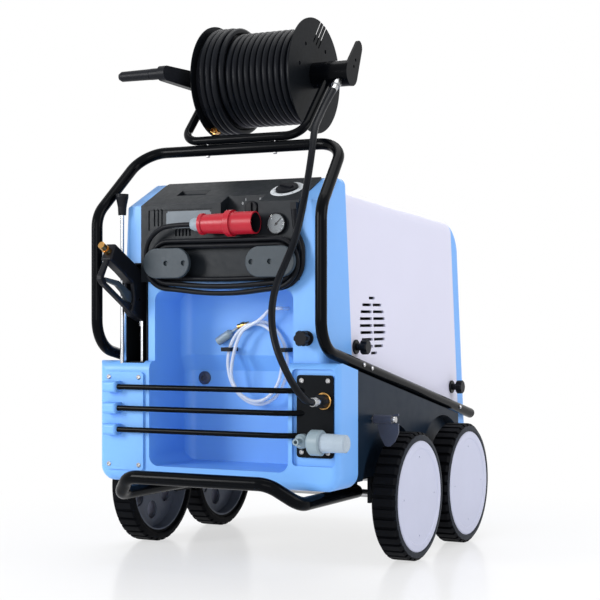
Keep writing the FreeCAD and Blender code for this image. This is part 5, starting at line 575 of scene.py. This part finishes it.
def ring_piece(name, outline, centre, axis, sides, closed, material, body):
    """Rings of vertices round an axis, through (along, radius) pairs in millimetres."""
    mesh = bpy.data.meshes.new(name)
    shape = bmesh.new()
    aim = Vector(axis).to_track_quat("Z", "Y").to_matrix().to_4x4()
    aim.translation = Vector(centre) * MM
    rings = []
    for along, radius in outline:
        ring = []
        for index in range(sides):
            angle = 2 * math.pi * index / sides
            ring.append(shape.verts.new(aim @ Vector((radius * MM * math.cos(angle),
                                                      radius * MM * math.sin(angle),
                                                      along * MM))))
        rings.append(ring)
    if closed:
        rings.append(rings[0])
    for low, high in zip(rings, rings[1:]):
        for index in range(sides):
            after = (index + 1) % sides
            shape.faces.new((low[index], low[after], high[after], high[index]))
    if not closed:
        shape.faces.new(list(reversed(rings[0])))
        shape.faces.new(rings[-1])
    bmesh.ops.recalc_face_normals(shape, faces=shape.faces)
    shape.to_mesh(mesh)
    shape.free()
    mesh.shade_smooth()
    mesh.set_sharp_from_angle(angle=math.radians(SMOOTH_TURN))
    return mesh_piece(name, mesh, material, body)


def turned(name, outline, centre, axis, material, body, sides=64):
    """A lathe-turned piece with flat ends."""
    return ring_piece(name, outline, centre, axis, sides, False, material, body)


def closed_ring(name, outline, centre, axis, material, body, sides=72):
    """A ring whose cross-section is a closed outline."""
    return ring_piece(name, outline, centre, axis, sides, True, material, body)


# In metres
BAR_EDGE = 0.0001
LETTER_RAISE = 0.00005
# In millimetres
MAIN_TICK_WIDTH = 0.7
SHORT_TICK_WIDTH = 0.35
TICK_HEIGHT = 0.12
# Shares of a main tick's length and of a number's height
SHORT_TICK = 0.55
NUMBER_INSET = 0.75


def bars(name, places, material, body):
    """Small bars joined in one piece; each place is (matrix, (long, wide, high)) in mm."""
    mesh = bpy.data.meshes.new(name)
    shape = bmesh.new()
    for matrix, size in places:
        scale = Matrix.Diagonal((size[0] * MM, size[1] * MM, size[2] * MM, 1))
        bmesh.ops.create_cube(shape, size=1, matrix=matrix @ scale)
    bmesh.ops.bevel(shape, geom=list(shape.edges), offset=BAR_EDGE, segments=1,
                    affect="EDGES")
    shape.to_mesh(mesh)
    shape.free()
    return mesh_piece(name, mesh, material, body)


def lettering(name, words, height, matrix, material, body):
    """Plain dial numbers, as thin raised shapes."""
    curve = bpy.data.curves.new(name, "FONT")
    curve.body = words
    curve.size = height * MM
    curve.align_x = "CENTER"
    curve.align_y = "CENTER"
    curve.extrude = LETTER_RAISE
    piece = bpy.data.objects.new(name, curve)
    bpy.context.scene.collection.objects.link(piece)
    piece.matrix_world = matrix
    bpy.context.view_layer.update()
    mesh = bpy.data.meshes.new_from_object(
        piece.evaluated_get(bpy.context.evaluated_depsgraph_get()))
    mesh.transform(matrix)
    bpy.data.objects.remove(piece)
    mesh.materials.clear()
    return mesh_piece(name, mesh, material, body)


def facing(centre, right, up):
    """The matrix of a flat place whose own X is right, Y is up and Z comes out of it."""
    right = Vector(right).normalized()
    up = Vector(up).normalized()
    out = right.cross(up)
    matrix = Matrix((right, up, out)).transposed().to_4x4()
    matrix.translation = Vector(centre) * MM
    return matrix


def dial_marks(prefix, place, ring, count, start, sweep, every, words, height, long):
    """Ticks round a dial with plain numbers inside them, clockwise for a sweep above 0."""
    ticks = []
    for index in range(count):
        angle = math.radians(start - sweep * index / (count - 1))
        main = index % every == 0
        length = long if main else long * SHORT_TICK
        width = MAIN_TICK_WIDTH if main else SHORT_TICK_WIDTH
        spot = Matrix.Rotation(angle, 4, "Z") @ Matrix.Translation(
            ((ring - length / 2) * MM, 0, 0))
        ticks.append((place @ spot, (length, width, TICK_HEIGHT)))
    bars(prefix + "_ticks", ticks, INK, "root")
    for index, word in enumerate(words):
        angle = math.radians(start - sweep * index / (len(words) - 1))
        reach = (ring - long - height * NUMBER_INSET) * MM
        spot = Matrix.Translation((reach * math.cos(angle), reach * math.sin(angle), 0))
        lettering("%s_number_%d" % (prefix, index), word, height, place @ spot, INK, "root")


FRONT = (0, -1, 0)
RIGHT = (1, 0, 0)
UP = (0, 0, 1)
PANEL_Y = -390

# The pressure gauge's face, rim and lens
GAUGE_AT = (163, PANEL_Y, 829)
GAUGE_INK_Y = PANEL_Y - 3.22
turned("gauge_face", [(3.02, 0.1), (3.14, 23.3), (3.16, 23.3), (3.2, 0.1)], GAUGE_AT, FRONT,
       DIAL, "root")
# The scale starts where the needle rests and ends where its joint stops.
dial_marks("gauge", facing((GAUGE_AT[0], GAUGE_INK_Y, GAUGE_AT[2]), RIGHT, UP), ring=22.3,
           count=21, start=45, sweep=135, every=5, words=("0", "50", "100", "150", "200"),
           height=4.4, long=3.2)
closed_ring("gauge_rim", [(7.6, 26.4), (8.9, 26.2), (9.5, 25), (9.5, 23.9), (8.4, 23.3),
                          (7.6, 23.3)], GAUGE_AT, FRONT, BLACK, "root")
turned("gauge_glass", [(7.4, 23.4), (7.7, 23.2), (8.1, 17), (8.35, 9), (8.4, 0.1)],
       GAUGE_AT, FRONT, LENS, "root")

# The thermostat's scale on the panel's slope
SLOPE_UP = Vector((0, 0.8916, 0.4528))
SLOPE_OUT = Vector((0, -0.4528, 0.8916))
DIAL_AT = Vector((157, -326, 916.5))
DIAL_INK_RAISE = 1.15
closed_ring("thermostat_scale", [(0.1, 28.6), (0.9, 28.9), (1.1, 29.5), (1.1, 41), (0.7, 41.8),
                                 (0.1, 42)], DIAL_AT, SLOPE_OUT, PALE, "root")
# Its numbers run the way the joint turns, from the knob's place at rest.
dial_marks("thermostat", facing(DIAL_AT + SLOPE_OUT * DIAL_INK_RAISE, RIGHT, SLOPE_UP),
           ring=41, count=19, start=90, sweep=-270, every=3,
           words=("30", "50", "70", "90", "110", "130", "150"), height=4.6, long=2.4)

# The main switch's marks in its well
WELL_INK_Y = -352.15
SWITCH_MARK_HEIGHT = 9
for word, x, z in (("0", 48, 884), ("I", 57, 893), ("II", 97, 893)):
    lettering("switch_mark_" + word, word, SWITCH_MARK_HEIGHT,
              facing((x, WELL_INK_Y, z), RIGHT, UP), PALE, "root")

# The plain plate in the panel's shallow recess, in metres
LABEL_AT = (-0.0845, -0.38755, 0.847)
LABEL_SIZE = (0.129, 0.0009, 0.042)
LABEL_CORNER = 0.004
LABEL_CORNER_STEPS = 5
plate = bpy.data.meshes.new("label_plate")
shape = bmesh.new()
bmesh.ops.create_cube(shape, size=1, matrix=Matrix.Translation(LABEL_AT)
                      @ Matrix.Diagonal((*LABEL_SIZE, 1)))
corners = [edge for edge in shape.edges
           if abs((edge.verts[0].co - edge.verts[1].co).y) > LABEL_SIZE[1] / 2]
bmesh.ops.bevel(shape, geom=corners, offset=LABEL_CORNER, segments=LABEL_CORNER_STEPS,
                affect="EDGES")
shape.to_mesh(plate)
shape.free()
mesh_piece("label_plate", plate, PRINT_GREY, "root")

# The crimped ferrule on the supply hose's lower end
FERRULE_AT = (297, -453.1, 410.3)
closed_ring("supply_ferrule", [(0, 8.7), (0, 10.6), (4, 10.6), (4.8, 9.9), (6.4, 9.9),
                               (7.2, 10.6), (10, 10.6), (10.8, 9.9), (12.4, 9.9),
                               (13.2, 10.6), (17, 10.4), (18, 8.7)],
            FERRULE_AT, FRONT, TURNED, "root")

# The rear panel's moulded louvre and its screws
REAR_Y = 545
REAR = facing((0, REAR_Y, 0), (-1, 0, 0), UP)
LOUVRE_Z = 560
RIB_COUNT = 9
RIB_PITCH = 20
RIB_LONG = 240
RIB_LOSS = 6
RIB_WIDE = 9
RIB_THICK = 3.2
RIB_LEAN = 24
RIB_RAISE = 0.6
ribs = []
for index in range(RIB_COUNT):
    from_middle = index - RIB_COUNT // 2
    lean = Matrix.Rotation(math.radians(RIB_LEAN), 4, "X")
    spot = Matrix.Translation((0, (LOUVRE_Z + RIB_PITCH * from_middle) * MM,
                               RIB_RAISE * MM))
    ribs.append((REAR @ spot @ lean,
                 (RIB_LONG - RIB_LOSS * abs(from_middle), RIB_WIDE, RIB_THICK)))
bars("rear_louvre", ribs, BLUE, "root")
SCREW_HEAD = [(0, 0.1), (0, 6.4), (1.2, 6.4), (2.6, 5.2), (3.1, 3.4), (3.1, 3), (1.2, 2.6),
              (1.2, 0.1)]
SCREWS_AT = ((-215, 250), (215, 250), (-215, 745), (215, 745))
for number, (x, z) in enumerate(SCREWS_AT):
    turned("rear_screw_%d" % number, SCREW_HEAD, (x, REAR_Y, z), (0, 1, 0), ZINC, "root",
           sides=32)


# Floor, backdrop and light
STAGE_HALF = 9
FLOOR_COLOUR = (0.9, 0.91, 0.94, 1)
FLOOR_SPECULAR = 0.55
FLOOR_GLOSS = (0.14, 0.22)
FLOOR_PATCHES = 1.3
FLOOR_DETAIL = 3.0
PLAIN_WHITE = (1, 1, 1, 1)
# The floor turns to plain white from the first to the second of these metres.
CLEAR_FROM = 0.6
CLEAR_TO = 1.5
# Its share of plain white near the machine
FLOOR_GLOW = 0.62
# The world's level for the light that falls on things, and for what is seen
AMBIENT = 0.42
SEEN_LEVEL = 1.0

floor_material, tree, shader = new_material("studio_floor")
shader.inputs["Base Color"].default_value = FLOOR_COLOUR
shader.inputs["Specular IOR Level"].default_value = FLOOR_SPECULAR
cloud = object_noise(tree, FLOOR_PATCHES, FLOOR_DETAIL)
link(tree, spread_value(tree, cloud, *FLOOR_GLOSS), shader.inputs["Roughness"])
place = tree.nodes.new("ShaderNodeTexCoord")
reach = tree.nodes.new("ShaderNodeVectorMath")
reach.operation = "LENGTH"
link(tree, place.outputs["Object"], reach.inputs[0])
fade = tree.nodes.new("ShaderNodeMapRange")
fade.interpolation_type = "SMOOTHSTEP"
fade.inputs["From Min"].default_value = CLEAR_FROM
fade.inputs["From Max"].default_value = CLEAR_TO
fade.inputs["To Min"].default_value = FLOOR_GLOW
link(tree, reach.outputs["Value"], fade.inputs["Value"])
glow = tree.nodes.new("ShaderNodeEmission")
glow.inputs["Color"].default_value = PLAIN_WHITE
blend = tree.nodes.new("ShaderNodeMixShader")
# For light that bounces off things the floor is a real surface, and doesn't glow.
floor_rays = tree.nodes.new("ShaderNodeLightPath")
bounced = tree.nodes.new("ShaderNodeMath")
bounced.operation = "SUBTRACT"
bounced.use_clamp = True
link(tree, fade.outputs["Result"], bounced.inputs[0])
link(tree, floor_rays.outputs["Is Diffuse Ray"], bounced.inputs[1])
link(tree, bounced.outputs["Value"], blend.inputs["Fac"])
link(tree, shader.outputs["BSDF"], blend.inputs[1])
link(tree, glow.outputs["Emission"], blend.inputs[2])
link(tree, blend.outputs["Shader"], tree.nodes["Material Output"].inputs["Surface"])

floor_mesh = bpy.data.meshes.new("studio_floor")
floor_mesh.from_pydata([(-STAGE_HALF, -STAGE_HALF, 0), (STAGE_HALF, -STAGE_HALF, 0),
                        (STAGE_HALF, STAGE_HALF, 0), (-STAGE_HALF, STAGE_HALF, 0)], [],
                       [(0, 1, 2, 3)])
floor_mesh.materials.append(floor_material)
floor = bpy.data.objects.new("studio_floor", floor_mesh)
bpy.context.scene.collection.objects.link(floor)

world = bpy.data.worlds.new("studio")
bpy.context.scene.world = world
world.use_nodes = True
sky = world.node_tree
sky.nodes.clear()
# Seen directly, through the clear pieces or mirrored, the world is plain white.
sky_rays = sky.nodes.new("ShaderNodeLightPath")
seen = sky.nodes.new("ShaderNodeMath")
seen.operation = "MAXIMUM"
link(sky, sky_rays.outputs["Is Camera Ray"], seen.inputs[0])
link(sky, sky_rays.outputs["Is Transmission Ray"], seen.inputs[1])
level = sky.nodes.new("ShaderNodeMapRange")
level.inputs["To Min"].default_value = AMBIENT
level.inputs["To Max"].default_value = SEEN_LEVEL
shown = sky.nodes.new("ShaderNodeMath")
shown.operation = "MAXIMUM"
link(sky, seen.outputs["Value"], shown.inputs[0])
link(sky, sky_rays.outputs["Is Glossy Ray"], shown.inputs[1])
link(sky, shown.outputs["Value"], level.inputs["Value"])
backdrop = sky.nodes.new("ShaderNodeBackground")
backdrop.inputs["Color"].default_value = PLAIN_WHITE
link(sky, level.outputs["Result"], backdrop.inputs["Strength"])
sky_out = sky.nodes.new("ShaderNodeOutputWorld")
link(sky, backdrop.outputs["Background"], sky_out.inputs["Surface"])


def softbox(name, place, aim, width, height, power, colour=(1, 1, 1)):
    lamp = bpy.data.lights.new(name, "AREA")
    lamp.shape = "RECTANGLE"
    lamp.size = width
    lamp.size_y = height
    lamp.energy = power
    lamp.color = colour
    box = bpy.data.objects.new(name, lamp)
    box.location = place
    box.rotation_mode = "QUATERNION"
    box.rotation_quaternion = (Vector(aim) - Vector(place)).to_track_quat("-Z", "Y")
    bpy.context.scene.collection.objects.link(box)


MIDDLE = (0, 0, 0.6)
softbox("key_left", (-2.6, -3.6, 1.7), MIDDLE, 1.3, 1.7, 118)
softbox("front_fill", (1.2, -4.6, 1.3), MIDDLE, 2.4, 1.8, 36)
softbox("side_right", (3.6, 0.2, 1.9), MIDDLE, 2.2, 1.6, 45, (0.97, 0.97, 1))
softbox("overhead", (0.2, 0.3, 3.6), MIDDLE, 2.6, 2.2, 42)
softbox("rim_rear", (-1.2, 3.2, 2.2), MIDDLE, 2.4, 1.4, 26)
